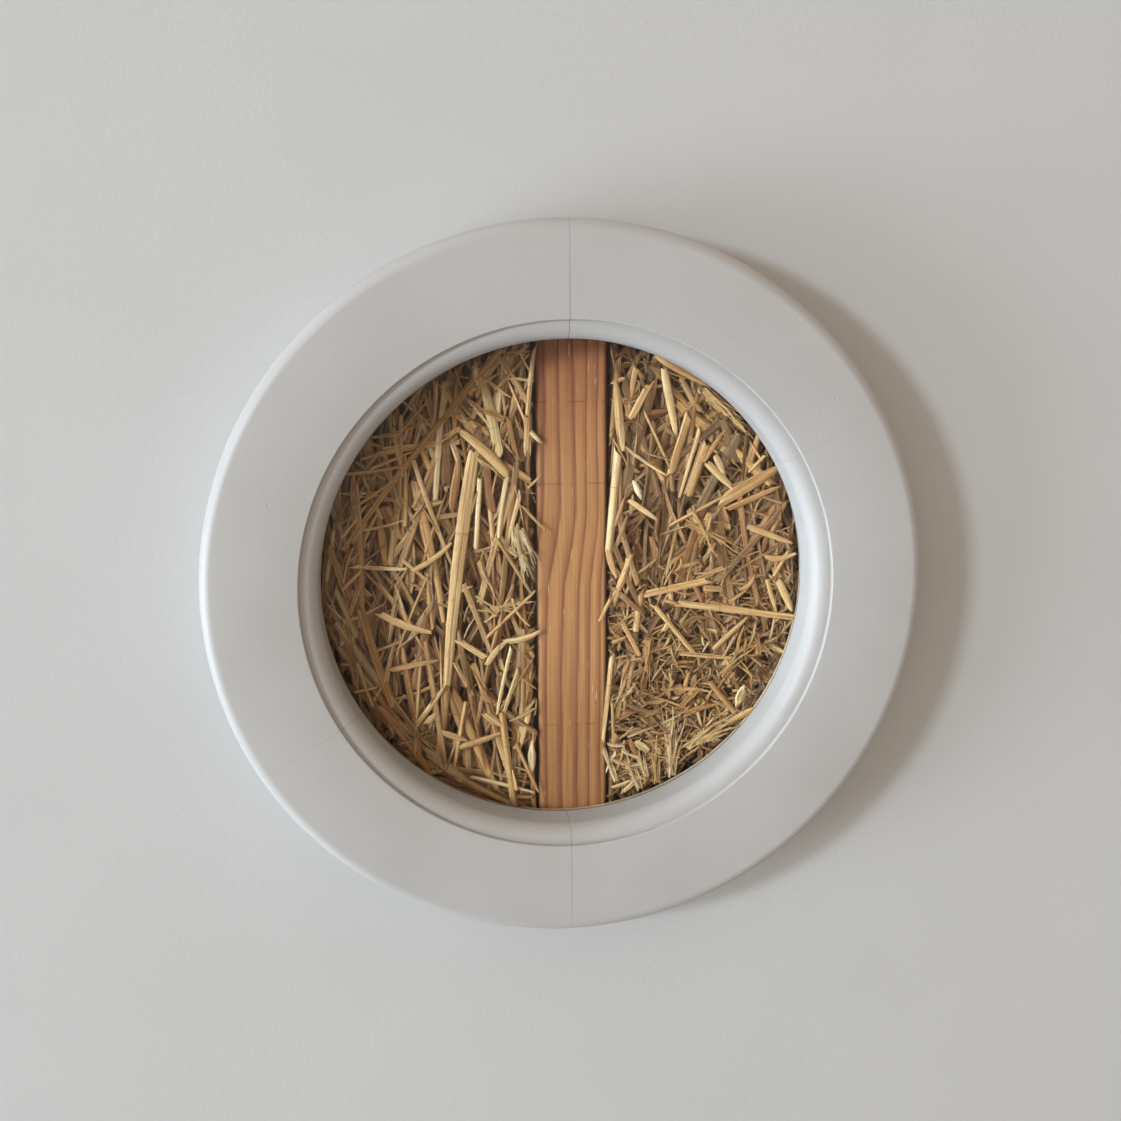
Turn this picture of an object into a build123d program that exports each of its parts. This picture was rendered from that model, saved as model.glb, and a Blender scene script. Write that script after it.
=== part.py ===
from build123d import *
import math
import os

# Round truth window: a painted timber ring with a moulded sight edge holds a glass disc,
# and behind the glass packed straw and a timber stud stand inside a bent lining hoop.
# Origin: the ring's centre, on the plane of the wall's surface, where the ring's back lies.
# -Y points into the room, +Y into the wall, +Z up. All lengths are millimetres.

# Ring, in section
ring_outer_radius = 220.0
ring_thickness = 42.0  # the face stands this far in front of the wall
nose_radius = 7.5  # rounding of the outer front edge
sight_radius = 151.0  # the clear opening
moulding_width = 11.0  # from the sight edge out to the flat face
quirk_step = 3.0  # drop from the face to the moulding
quirk_arris = 0.8  # eased edge of that step
ovolo_radius = 9.8  # convex quarter round between the step and the reveal
back_arris = 1.0  # eased outer edge at the wall

# Ring, its joints
segment_count = 6
tongue_thickness = 6.0
tongue_inset = 18.0  # from the ring's inner and outer edges to the tongue
tongue_grip = 12.0  # into each segment
tongue_depth = 22.0  # from the face to the tongue's middle
tongue_clearance = 0.1

# Glazing, from the front
rebate_width = 10.0  # how far the rebate is cut past the sight edge
tape_thickness = 1.0
tape_width = 7.5
glass_thickness = 4.0
glass_clearance = 0.7  # around the disc's edge
glass_arris = 0.5
bead_thickness = 4.0
bead_width = 8.2
bead_clearance = 0.3  # between the bead and the rebate's wall
bead_butt_gap = 0.6  # where the bent bead's ends meet
bead_slope = 1.2  # bevel on the bead's inner back edge

# Bead pins
pins_per_segment = 2
pin_radius = 0.7
pin_length = 15.5
pin_sink = 0.3  # below the bead's inner face
pin_clearance = 0.1

# Lining hoop, bent plywood let into the ring's back
hoop_land = 11.0  # wood left between the rebate and the hoop
hoop_wall = 6.0
hoop_tongue_wall = 4.5  # thinned on the outside where it enters the ring
hoop_groove_depth = 5.0
hoop_shoulder_gap = 0.5  # from the ring's back to the hoop's shoulder
hoop_clearance = 0.15  # each side of the tongue in its groove
hoop_mouth_clearance = 0.35  # from the hoop's outer face to the ring's flat back, across the groove's bevelled mouth
hoop_reach = 40.0  # from the wall's surface into the wall
hoop_arris = 1.0

# Stud
stud_width = 44.0
stud_offset = 5.6  # its middle, right of the ring's middle
stud_front = 1.0  # its face, behind the wall's surface
stud_arris = 2.5
stud_clearance = 0.3  # between its coped ends and the hoop

# Stud screws, a pair through the hoop at each end
screw_spacing = 16.0
screw_head_radius = 4.0
screw_head_angle = 90.0
screw_shank_radius = 2.0
screw_length = 40.0
screw_clearance = 0.2
screw_sink = 0.4  # below the hoop's outer face

# Packed straw
straw_clearance = 0.4  # to the stud, the hoop, the bead, the ring's back and the glass
straw_bed = 0.8  # where the packed bed starts, behind the wall's surface
culm_radius = 2.4
thin_culm_radius = 1.6
leaf_width = 7.5
leaf_thickness = 1.4
long_culm = 128.0
middle_culm = 84.0
short_culm = 46.0
leaf_length = 70.0
long_culm_count = 9
middle_culm_count = 13
short_culm_count = 16
leaf_count = 7
stalk_dive = 1.0  # how far each end of a stalk rises or sinks from its middle
stalk_bury = 0.35  # the part of a stalk's half thickness that stands its middle off the bed
stalk_field = 0.96  # the part of the opening's height that holds the stalks' middles
left_lean = 93.0  # degrees from level, and how far they fan out
left_fan = 84.0
right_lean = 68.0
right_fan = 132.0

# Worked out from the sizes above
face_y = -ring_thickness
ledge_y = face_y + quirk_step
glass_back_y = -bead_thickness
glass_front_y = glass_back_y - glass_thickness
sight_y = glass_front_y - tape_thickness
quirk_radius = sight_radius + moulding_width
rebate_radius = sight_radius + rebate_width
glass_radius = rebate_radius - glass_clearance
bead_outer_radius = rebate_radius - bead_clearance
bead_inner_radius = bead_outer_radius - bead_width
bead_middle_radius = bead_outer_radius - bead_width / 2
bead_middle_y = -bead_thickness / 2
pin_end_radius = bead_inner_radius + pin_sink + pin_length
hoop_inner_radius = rebate_radius + hoop_land
hoop_outer_radius = hoop_inner_radius + hoop_wall
hoop_tongue_radius = hoop_inner_radius + hoop_tongue_wall
groove_inner_radius = hoop_inner_radius - hoop_clearance
groove_outer_radius = hoop_tongue_radius + hoop_clearance
groove_mouth_bevel = hoop_outer_radius + hoop_mouth_clearance - groove_outer_radius
segment_angle = 360.0 / segment_count
tongue_middle = (ring_outer_radius + sight_radius) / 2
tongue_reach = ring_outer_radius - sight_radius - 2 * tongue_inset
tongue_y = face_y + tongue_depth
stud_depth = hoop_reach - stud_front
stud_middle_y = stud_front + stud_depth / 2
screw_head_seat = hoop_outer_radius - screw_sink
screw_head_height = (screw_head_radius - screw_shank_radius) / math.tan(math.radians(screw_head_angle / 2))
screw_angle = math.degrees(math.acos(stud_offset / hoop_outer_radius))
screw_places = [
    (end * screw_angle, stud_middle_y + side * screw_spacing / 2) for end in (1, -1) for side in (1, -1)
]
straw_front_y = glass_back_y + straw_clearance
from_base = (Align.CENTER, Align.CENTER, Align.MIN)
from_top = (Align.CENTER, Align.CENTER, Align.MAX)


def radial_plane(angle):
    """The plane through the ring's axis whose x runs outwards at this angle and y along the axis."""
    turn = math.radians(angle)
    outwards = (math.cos(turn), 0, math.sin(turn))
    across = (-math.sin(turn), 0, math.cos(turn))
    return Plane(origin=(0, 0, 0), x_dir=outwards, z_dir=across)


def spoke_plane(angle, radius, y, facing=1):
    """A plane square to a spoke of the ring: facing 1 looks outwards, -1 towards the middle."""
    turn = math.radians(angle)
    spoke = (math.cos(turn), 0, math.sin(turn))
    start = (radius * spoke[0], y, radius * spoke[2])
    return Plane(origin=start, x_dir=(0, 1, 0), z_dir=tuple(facing * part for part in spoke))


def segment_middle(number):
    """Segments are counted clockwise, and the first lies right of twelve o'clock."""
    return 90.0 - (number + 0.5) * segment_angle


def joint_angle(number):
    """The joint at the anticlockwise end of a segment."""
    return segment_middle(number) + segment_angle / 2


def pin_angles(number):
    """Spokes of the pins in one segment."""
    step = segment_angle / pins_per_segment
    return [joint_angle(number) - (k + 0.5) * step for k in range(pins_per_segment)]


all_pin_angles = [angle for number in range(segment_count) for angle in pin_angles(number)]


def keep(part, name):
    part.label = name
    export_step(part, f"parts/{name}.step")


os.makedirs("parts", exist_ok=True)


# Ring segments: the moulded section turned through one share of the circle, with the
# tongue slots in both ends and the pin holes in the rebate's wall
def make_segment(number):
    with BuildPart() as segment:
        with BuildSketch(radial_plane(joint_angle(number))) as section:
            with BuildLine():
                Polyline(
                    (sight_radius, sight_y),
                    (sight_radius, ledge_y),
                    (quirk_radius, ledge_y),
                    (quirk_radius, face_y),
                    (ring_outer_radius, face_y),
                    (ring_outer_radius, 0),
                    (groove_outer_radius, 0),
                    (groove_outer_radius, -hoop_groove_depth),
                    (groove_inner_radius, -hoop_groove_depth),
                    (groove_inner_radius, 0),
                    (rebate_radius, 0),
                    (rebate_radius, sight_y),
                    close=True,
                )
            make_face()
            corners = section.vertices()
            nose = corners.sort_by_distance((ring_outer_radius, face_y, 0))[0]
            moulding = corners.sort_by_distance((sight_radius, ledge_y, 0))[0]
            arris = corners.sort_by_distance((quirk_radius, face_y, 0))[0]
            heel = corners.sort_by_distance((ring_outer_radius, 0, 0))[0]
            mouth = corners.sort_by_distance((groove_outer_radius, 0, 0))[0]
            fillet(nose, nose_radius)
            fillet(section.vertices().sort_by_distance(moulding)[0], ovolo_radius)
            fillet(section.vertices().sort_by_distance(arris)[0], quirk_arris)
            chamfer(section.vertices().sort_by_distance(heel)[0], back_arris)
            chamfer(section.vertices().sort_by_distance(mouth)[0], groove_mouth_bevel)
        revolve(axis=Axis.Y, revolution_arc=segment_angle)
        for angle in (joint_angle(number), joint_angle(number + 1)):
            with BuildSketch(radial_plane(angle)):
                with Locations((tongue_middle, tongue_y)):
                    Rectangle(tongue_reach + 2 * tongue_clearance, tongue_thickness + 2 * tongue_clearance)
            extrude(amount=tongue_grip + tongue_clearance, both=True, mode=Mode.SUBTRACT)
        with Locations(*[spoke_plane(angle, rebate_radius, bead_middle_y, facing=-1) for angle in pin_angles(number)]):
            Hole(pin_radius + pin_clearance, depth=pin_end_radius + pin_clearance - rebate_radius)
    return segment.part


for number in range(segment_count):
    keep(make_segment(number), f"frame_segment_{number + 1}")


# Loose tongues across the joints
def make_tongue(number):
    with BuildPart() as tongue:
        with BuildSketch(radial_plane(joint_angle(number))):
            with Locations((tongue_middle, tongue_y)):
                Rectangle(tongue_reach, tongue_thickness)
        extrude(amount=tongue_grip, both=True)
    return tongue.part


for number in range(segment_count):
    keep(make_tongue(number), f"joint_tongue_{number + 1}")

# Glazing tape on the rebate's shoulder
with BuildPart() as glazing_tape:
    with BuildSketch(Plane.XZ.offset(-sight_y)):
        Circle(glass_radius)
        Circle(glass_radius - tape_width, mode=Mode.SUBTRACT)
    extrude(amount=-tape_thickness)
keep(glazing_tape.part, "glazing_tape")

# Glass
with BuildPart() as glass_pane:
    with BuildSketch(Plane.XZ.offset(-glass_front_y)):
        Circle(glass_radius)
    extrude(amount=-glass_thickness)
    chamfer(glass_pane.edges().filter_by(GeomType.CIRCLE), glass_arris)
keep(glass_pane.part, "glass_pane")

# Glazing bead, one strip bent round with its ends butted at the top
with BuildPart() as glazing_bead:
    with BuildSketch(Plane.XY) as bead_section:
        with Locations((bead_middle_radius, bead_middle_y)):
            Rectangle(bead_width, bead_thickness)
        chamfer(bead_section.vertices().sort_by_distance((bead_inner_radius, 0, 0))[0], bead_slope)
    revolve(axis=Axis.Y)
    with Locations(*[spoke_plane(angle, bead_inner_radius, bead_middle_y, facing=-1) for angle in all_pin_angles]):
        Hole(pin_radius + pin_clearance, depth=bead_width + bead_clearance)
    with BuildSketch(radial_plane(90)):
        with Locations((bead_middle_radius, bead_middle_y)):
            Rectangle(bead_width * 2, bead_thickness * 2)
    extrude(amount=bead_butt_gap / 2, both=True, mode=Mode.SUBTRACT)
keep(glazing_bead.part, "glazing_bead")

# Bead pins, headless, driven outwards through the bead into the ring
with BuildPart() as bead_pins:
    with Locations(*[spoke_plane(angle, bead_inner_radius + pin_sink, bead_middle_y) for angle in all_pin_angles]):
        Cylinder(pin_radius, pin_length, align=from_base)
keep(bead_pins.part, "bead_pins")

# Lining hoop: a tongue on its front edge enters the ring, and it is countersunk for the stud's screws
with BuildPart() as lining_hoop:
    with BuildSketch(Plane.XY) as hoop_section:
        with BuildLine():
            Polyline(
                (hoop_inner_radius, -hoop_groove_depth),
                (hoop_tongue_radius, -hoop_groove_depth),
                (hoop_tongue_radius, hoop_shoulder_gap),
                (hoop_outer_radius, hoop_shoulder_gap),
                (hoop_outer_radius, hoop_reach),
                (hoop_inner_radius, hoop_reach),
                close=True,
            )
        make_face()
        chamfer(hoop_section.vertices().group_by(Axis.Y)[-1], hoop_arris)
    revolve(axis=Axis.Y)
    with Locations(*[spoke_plane(angle, screw_head_seat, y) for angle, y in screw_places]):
        CounterSinkHole(
            radius=screw_shank_radius + screw_clearance,
            counter_sink_radius=screw_head_radius + screw_clearance,
            depth=hoop_wall * 2,
            counter_sink_angle=screw_head_angle,
        )
keep(lining_hoop.part, "lining_hoop")

# Stud, its ends coped to the hoop
with BuildPart() as stud:
    with BuildSketch(Plane.XZ.offset(-stud_front)):
        with Locations((stud_offset, 0)):
            Rectangle(stud_width, 2 * hoop_outer_radius)
    extrude(amount=-stud_depth)
    fillet(stud.edges().filter_by(Axis.Z), stud_arris)
    with BuildSketch(Plane.XZ.offset(-stud_front)):
        Circle(hoop_inner_radius - stud_clearance)
    extrude(amount=-stud_depth, mode=Mode.INTERSECT)
    with Locations(*[spoke_plane(angle, hoop_outer_radius, y) for angle, y in screw_places]):
        Hole(screw_shank_radius + screw_clearance, depth=screw_length + screw_sink + screw_clearance)
keep(stud.part, "stud")

# Stud screws, countersunk into the hoop
with BuildPart() as stud_screws:
    with Locations(*[spoke_plane(angle, screw_head_seat, y) for angle, y in screw_places]):
        Cone(
            bottom_radius=screw_shank_radius,
            top_radius=screw_head_radius,
            height=screw_head_height,
            align=from_top,
        )
        Cylinder(screw_shank_radius, screw_length, align=from_top)
keep(stud_screws.part, "stud_screws")


# Packed straw: a bed cut to the hoop with stalks lying on its face, pressed towards the glass
def spread(step, number, start):
    """Evenly scattered values from 0 to 1, one for each number."""
    return (start + number * step) % 1.0


def stalk_planes(side, count, length, half_thickness, start, lean, fan):
    """Planes square to each stalk, scattered over the bed on one side of the stud."""
    planes = []
    for number in range(count):
        height = (2 * spread(0.7549, number, start) - 1) * stalk_field * sight_radius
        edge = stud_offset + side * stud_width / 2
        rim = side * math.sqrt(sight_radius**2 - height**2)
        across = edge + (rim - edge) * spread(0.5698, number, start * 1.7)
        turn = math.radians(lean + fan * (spread(0.6180, number, start * 2.3) - 0.5))
        dive = math.asin(stalk_dive * 2 / length) * (1 if number % 2 else -1)
        along = (math.cos(turn) * math.cos(dive), math.sin(dive), math.sin(turn) * math.cos(dive))
        middle = (across, straw_bed - stalk_bury * half_thickness, height)
        planes.append(Plane(origin=middle, x_dir=(-math.sin(turn), 0, math.cos(turn)), z_dir=along))
    return planes


def make_straw(side, lean, fan, start):
    edge = stud_offset + side * (stud_width / 2 + straw_clearance)
    culms = (
        (long_culm_count, long_culm, culm_radius),
        (middle_culm_count, middle_culm, culm_radius),
        (short_culm_count, short_culm, thin_culm_radius),
    )
    with BuildPart() as straw:
        with BuildSketch(Plane.XZ.offset(-straw_bed)):
            Circle(hoop_inner_radius)
        extrude(amount=straw_bed - hoop_reach)
        for step, (count, length, radius) in enumerate(culms):
            with BuildSketch(*stalk_planes(side, count, length, radius, start + step * 0.23, lean, fan)):
                RegularPolygon(radius, 6)
            extrude(amount=length / 2, both=True)
        with BuildSketch(*stalk_planes(side, leaf_count, leaf_length, leaf_thickness / 2, start + 0.8, lean, fan)):
            Rectangle(leaf_width, leaf_thickness)
        extrude(amount=leaf_length / 2, both=True)
        with BuildSketch(Plane.XY):
            with BuildLine():
                Polyline(
                    (0, straw_front_y),
                    (bead_inner_radius - straw_clearance, straw_front_y),
                    (bead_inner_radius - straw_clearance, straw_clearance),
                    (hoop_inner_radius - straw_clearance, straw_clearance),
                    (hoop_inner_radius - straw_clearance, hoop_reach),
                    (0, hoop_reach),
                    close=True,
                )
            make_face()
        revolve(axis=Axis.Y, mode=Mode.INTERSECT)
        split(bisect_by=Plane(origin=(edge, 0, 0), z_dir=(side, 0, 0)), keep=Keep.TOP)
    return straw.part


keep(make_straw(-1, left_lean, left_fan, 0.11), "straw_left")
keep(make_straw(1, right_lean, right_fan, 0.37), "straw_right")
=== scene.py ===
import bmesh
import bpy
import math
import random
import numpy as np
from mathutils import Matrix, Vector


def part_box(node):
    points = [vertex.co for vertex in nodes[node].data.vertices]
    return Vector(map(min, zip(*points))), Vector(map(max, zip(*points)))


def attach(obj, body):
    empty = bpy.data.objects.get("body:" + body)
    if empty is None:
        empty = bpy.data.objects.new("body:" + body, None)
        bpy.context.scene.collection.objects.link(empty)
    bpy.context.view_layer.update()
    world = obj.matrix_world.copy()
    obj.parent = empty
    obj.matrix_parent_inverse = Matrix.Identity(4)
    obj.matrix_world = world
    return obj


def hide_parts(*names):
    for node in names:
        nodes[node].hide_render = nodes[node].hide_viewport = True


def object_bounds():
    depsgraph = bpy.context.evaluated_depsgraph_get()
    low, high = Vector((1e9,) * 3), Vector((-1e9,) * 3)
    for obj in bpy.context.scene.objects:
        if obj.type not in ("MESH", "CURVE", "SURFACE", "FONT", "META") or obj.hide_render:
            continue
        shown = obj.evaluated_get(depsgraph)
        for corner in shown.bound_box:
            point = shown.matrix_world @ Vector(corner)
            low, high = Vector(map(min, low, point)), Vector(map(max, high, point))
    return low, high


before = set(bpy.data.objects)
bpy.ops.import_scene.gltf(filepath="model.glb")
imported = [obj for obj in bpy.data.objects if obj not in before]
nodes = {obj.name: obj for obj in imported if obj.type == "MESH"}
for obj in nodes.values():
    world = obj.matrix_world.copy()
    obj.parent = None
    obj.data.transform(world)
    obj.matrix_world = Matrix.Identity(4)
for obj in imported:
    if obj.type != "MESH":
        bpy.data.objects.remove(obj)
cadBox = [list(corner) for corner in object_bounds()]
mm = 0.001
print("frame loaded:", len(nodes), "nodes")


# helpers for objects and edit mode
def deselectAll():
    if bpy.context.object and bpy.context.object.mode != "OBJECT":
        bpy.ops.object.mode_set(mode="OBJECT")
    bpy.ops.object.select_all(action="DESELECT")


def activate(obj):
    deselectAll()
    obj.select_set(True)
    bpy.context.view_layer.objects.active = obj


def addPrimitive(operator, name, **settings):
    deselectAll()
    operator(**settings)
    obj = bpy.context.object
    obj.name = name
    return obj


def copyOf(obj):
    # a copy with its own mesh
    copy = obj.copy()
    copy.data = obj.data.copy()
    bpy.context.scene.collection.objects.link(copy)
    return copy


def startEdit(obj):
    activate(obj)
    bpy.ops.object.mode_set(mode="EDIT")
    bpy.ops.mesh.select_mode(type="VERT")
    bpy.ops.mesh.select_all(action="SELECT")


def endEdit():
    bpy.ops.object.mode_set(mode="OBJECT")


def pick(obj, kind, test):
    # selects vertices, edges or faces by a test on their middle and, for faces, their normal
    mesh = bmesh.from_edit_mesh(obj.data)
    for items in (mesh.faces, mesh.edges, mesh.verts):
        for item in items:
            item.select_set(False)
    bpy.ops.mesh.select_mode(type=kind)
    for item in {"VERT": mesh.verts, "EDGE": mesh.edges, "FACE": mesh.faces}[kind]:
        if kind == "VERT":
            chosen = test(item.co)
        elif kind == "EDGE":
            chosen = test((item.verts[0].co + item.verts[1].co) / 2)
        else:
            chosen = test(item.calc_center_median(), item.normal)
        if chosen:
            item.select_set(True)
    bmesh.update_edit_mesh(obj.data)


def drawUp(rings, width, extrude=bpy.ops.mesh.extrude_region_move):
    # extrudes what is selected from ring to ring, each with its height and width
    height = 0.0
    for nextHeight, nextWidth in rings:
        extrude(TRANSFORM_OT_translate={"value": (0, 0, nextHeight - height)})
        factor = nextWidth / width
        bpy.ops.transform.resize(value=(factor, factor, 1), center_override=(0, 0, nextHeight))
        height, width = nextHeight, nextWidth


def fixNormals(obj):
    startEdit(obj)
    bpy.ops.mesh.remove_doubles(threshold=0.005 * mm)
    bpy.ops.mesh.normals_make_consistent(inside=False)
    endEdit()


def applyModifier(obj, kind, **settings):
    activate(obj)
    modifier = obj.modifiers.new(kind.title(), kind)
    for name, value in settings.items():
        setattr(modifier, name, value)
    bpy.ops.object.modifier_apply(modifier=modifier.name)


def cutAway(obj, cutter):
    applyModifier(obj, "BOOLEAN", operation="DIFFERENCE", object=cutter, solver="EXACT")
    bpy.data.objects.remove(cutter)


def smoothByAngle(obj, degrees):
    activate(obj)
    bpy.ops.object.shade_smooth_by_angle(angle=math.radians(degrees))


def settle(obj):
    # moves the object's place into its mesh
    activate(obj)
    bpy.ops.object.transform_apply(location=True, rotation=True, scale=True)


def joinAll(objects, name):
    deselectAll()
    for obj in objects:
        obj.select_set(True)
    bpy.context.view_layer.objects.active = objects[0]
    bpy.ops.object.join()
    whole = bpy.context.object
    whole.name = name
    whole.data.name = name
    return whole


# helpers for materials; making holds the node tree that is being built
making = {"tree": None}


def feed(node, inputs):
    # links the sockets given, and sets the plain numbers and colours
    for name, value in inputs.items():
        socket = node.inputs[name]
        if isinstance(value, bpy.types.NodeSocket):
            making["tree"].links.new(value, socket)
        else:
            socket.default_value = (*value, 1) if socket.type == "RGBA" else value
    return node


def addNode(kind, inputs=None, **settings):
    node = making["tree"].nodes.new(kind)
    for name, value in settings.items():
        setattr(node, name, value)
    return feed(node, inputs or {})


def startTree(owner):
    owner.use_nodes = True
    making["tree"] = owner.node_tree
    owner.node_tree.nodes.clear()


def newMaterial(name):
    material = bpy.data.materials.new(name)
    startTree(material)
    shader = addNode("ShaderNodeBsdfPrincipled")
    addNode("ShaderNodeOutputMaterial", {"Surface": shader.outputs["BSDF"]})
    return material, shader


def mixIn(factor, shader, other):
    # the material becomes a mix of its shader and another one
    both = addNode("ShaderNodeMixShader", {0: factor, 1: shader.outputs[0], 2: other.outputs[0]})
    feed(making["tree"].nodes["Material Output"], {"Surface": both.outputs[0]})


def calc(operation, first, second=0.0):
    return addNode("ShaderNodeMath", {0: first, 1: second}, operation=operation).outputs[0]


def plus(first, second):
    return calc("ADD", first, second)


def minus(first, second):
    return calc("SUBTRACT", first, second)


def times(first, second):
    return calc("MULTIPLY", first, second)


def remap(value, low, high, newLow=0.0, newHigh=1.0, smooth=False):
    inputs = {"Value": value, "From Min": low, "From Max": high, "To Min": newLow, "To Max": newHigh}
    kind = "SMOOTHSTEP" if smooth else "LINEAR"
    return addNode("ShaderNodeMapRange", inputs, interpolation_type=kind).outputs[0]


def combine(x, y, z):
    return addNode("ShaderNodeCombineXYZ", {"X": x, "Y": y, "Z": z}).outputs[0]


def separate(vector):
    return tuple(addNode("ShaderNodeSeparateXYZ", {"Vector": vector}).outputs)


def noise(vector, scale, detail=3.0, rough=0.5):
    # the scale is one number, or one for each direction
    if isinstance(scale, tuple):
        vector = addNode("ShaderNodeMapping", {"Vector": vector, "Scale": scale}).outputs[0]
        scale = 1.0
    inputs = {"Vector": vector, "Scale": scale, "Detail": detail, "Roughness": rough}
    return addNode("ShaderNodeTexNoise", inputs).outputs["Fac"]


def ramp(value, stops):
    node = addNode("ShaderNodeValToRGB", {"Fac": value})
    elements = node.color_ramp.elements
    while len(elements) < len(stops):
        elements.new(0.5)
    for element, (place, color) in zip(elements, stops):
        element.position = place
        element.color = (*color, 1)
    return node.outputs["Color"]


def blend(factor, first, second, kind="MIX"):
    inputs = {0: factor, 6: first, 7: second}
    return addNode("ShaderNodeMix", inputs, data_type="RGBA", blend_type=kind).outputs[2]


def tint(color, value, amount, *stops):
    # multiplies a colour by a ramp of a pattern
    return blend(amount, color, ramp(value, stops), "MULTIPLY")


def gloss(pattern, values):
    # the roughness runs between two values with a pattern
    return remap(pattern, 0.2, 0.8, *values["roughness"])


def finish(shader, color, rough, height, values):
    # the links that every surface here ends with
    depth, strength = values["bump"]
    normal = addNode("ShaderNodeBump", {"Height": height, "Distance": depth, "Strength": strength})
    feed(shader, {"Base Color": color, "Roughness": rough, "Normal": normal.outputs["Normal"]})
    if "specular" in values:
        feed(shader, {"Specular IOR Level": values["specular"]})


def shaded(color, factor):
    return tuple(part * factor for part in color)


def setMaterial(obj, material):
    obj.data.materials.clear()
    obj.data.materials.append(material)


def place():
    # Object coordinates and their parts; every piece's object sits at the origin
    spot = addNode("ShaderNodeTexCoord").outputs["Object"]
    return (spot, *separate(spot))


def polar(x, z):
    # distance from the ring's axis, and the spoke's direction
    radius = calc("SQRT", plus(times(x, x), times(z, z)))
    return radius, calc("DIVIDE", x, radius), calc("DIVIDE", z, radius)


def turned(x, z, c, s):
    # distances along a spoke and across it
    return plus(times(x, c), times(z, s)), minus(times(z, c), times(x, s))


# camera: the photograph's view, worked out from the ring's outlines
cameraAt = {
    "place": (-91.1 * mm, -802.2 * mm, 166.8 * mm),
    "aim": (-6.5 * mm, -42.0 * mm, 20.2 * mm),
    "roll": 0.28,  # degrees
    "photoWidth": 1121,
    "focalPixels": 1300,
    "sensor": 36.0,
}


def addCamera():
    data = bpy.data.cameras.new("camera")
    camera = bpy.data.objects.new("camera", data)
    bpy.context.scene.collection.objects.link(camera)
    start, aim = Vector(cameraAt["place"]), Vector(cameraAt["aim"])
    turn = (aim - start).to_track_quat("-Z", "Y").to_matrix()
    roll = Matrix.Rotation(math.radians(-cameraAt["roll"]), 3, "Z")
    camera.matrix_world = Matrix.LocRotScale(start, turn @ roll, None)
    data.sensor_width = cameraAt["sensor"]
    data.lens = cameraAt["focalPixels"] / cameraAt["photoWidth"] * cameraAt["sensor"]
    bpy.context.scene.camera = camera
    return camera


camera = addCamera()


def photoSpot(px, py, depth):
    # where the photograph's pixel falls on the plane at this depth
    half = cameraAt["photoWidth"] / 2
    ray = camera.matrix_world.to_3x3() @ Vector((px - half, half - py, -cameraAt["focalPixels"]))
    start = camera.matrix_world.translation
    return start + ray * ((depth - start.y) / ray.y)


# studio: a pale wall behind the ring, a pale floor, a key lamp with a fairly sharp edge and a soft fill
studio = {
    "wallColor": (0.565, 0.556, 0.540),
    "wallHole": 179.0 * mm,
    "wallPlane": -0.3 * mm,  # so that the ring's back shows from behind
    "wallReach": 7.0,
    "floorColor": (0.46, 0.454, 0.442),
    "floorHeight": -2.1,
    "mottle": (9.0, 2.0),  # a noise's scale and detail, here and below
    "mottleShades": ((0.3, 0.985), (0.7, 1.015)),
    "grain": (260.0, 2.0),
    "bump": (0.0004, 0.35),  # depth and strength, here and below
    "roughness": 0.75,
    "specular": 0.25,
    "worldLeft": (0.15, (0.86, 0.775, 0.69)),  # the room is brighter and cooler on the left
    "worldRight": (0.85, (0.51, 0.41, 0.32)),
    "worldSeen": (0.56, 0.56, 0.54),
}
lamps = {  # angles in degrees: turn from the wall's normal to the left, rise, and spread
    "key": {"turn": 52.0, "rise": 10.0, "distance": 8.3, "size": 1.0, "power": 354.0,
            "color": (0.72, 0.865, 0.99), "spread": 180.0},
    "fill": {"turn": 78.0, "rise": -14.0, "distance": 4.0, "size": 2.0, "power": 22.0,
             "color": (0.79, 0.94, 1.09), "spread": 60.0},  # so narrow that the floor near it isn't lit
}


def addLamp(name, turn, rise, distance, size, power, color, spread):
    data = bpy.data.lights.new(name, "AREA")
    data.shape = "SQUARE"
    data.size = size
    data.energy = power
    data.color = color
    data.spread = math.radians(spread)
    lamp = bpy.data.objects.new(name, data)
    bpy.context.scene.collection.objects.link(lamp)
    side, up = math.radians(turn), math.radians(rise)
    spot = Vector((-math.sin(side) * math.cos(up), -math.cos(side) * math.cos(up), math.sin(up))) * distance
    lamp.matrix_world = Matrix.LocRotScale(spot, (-spot).to_track_quat("-Z", "Y"), None)


def plainMaterial(name, color, seeThroughBack=False):
    material, shader = newMaterial(name)
    spot = place()[0]
    shades = [(at, shaded(color, factor)) for at, factor in studio["mottleShades"]]
    color = ramp(noise(spot, *studio["mottle"]), shades)
    finish(shader, color, studio["roughness"], noise(spot, *studio["grain"]), studio)
    if seeThroughBack:  # from behind, the wall doesn't hide the window's back
        facing = addNode("ShaderNodeNewGeometry").outputs["Backfacing"]
        mixIn(facing, shader, addNode("ShaderNodeBsdfTransparent"))
    return material


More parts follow.
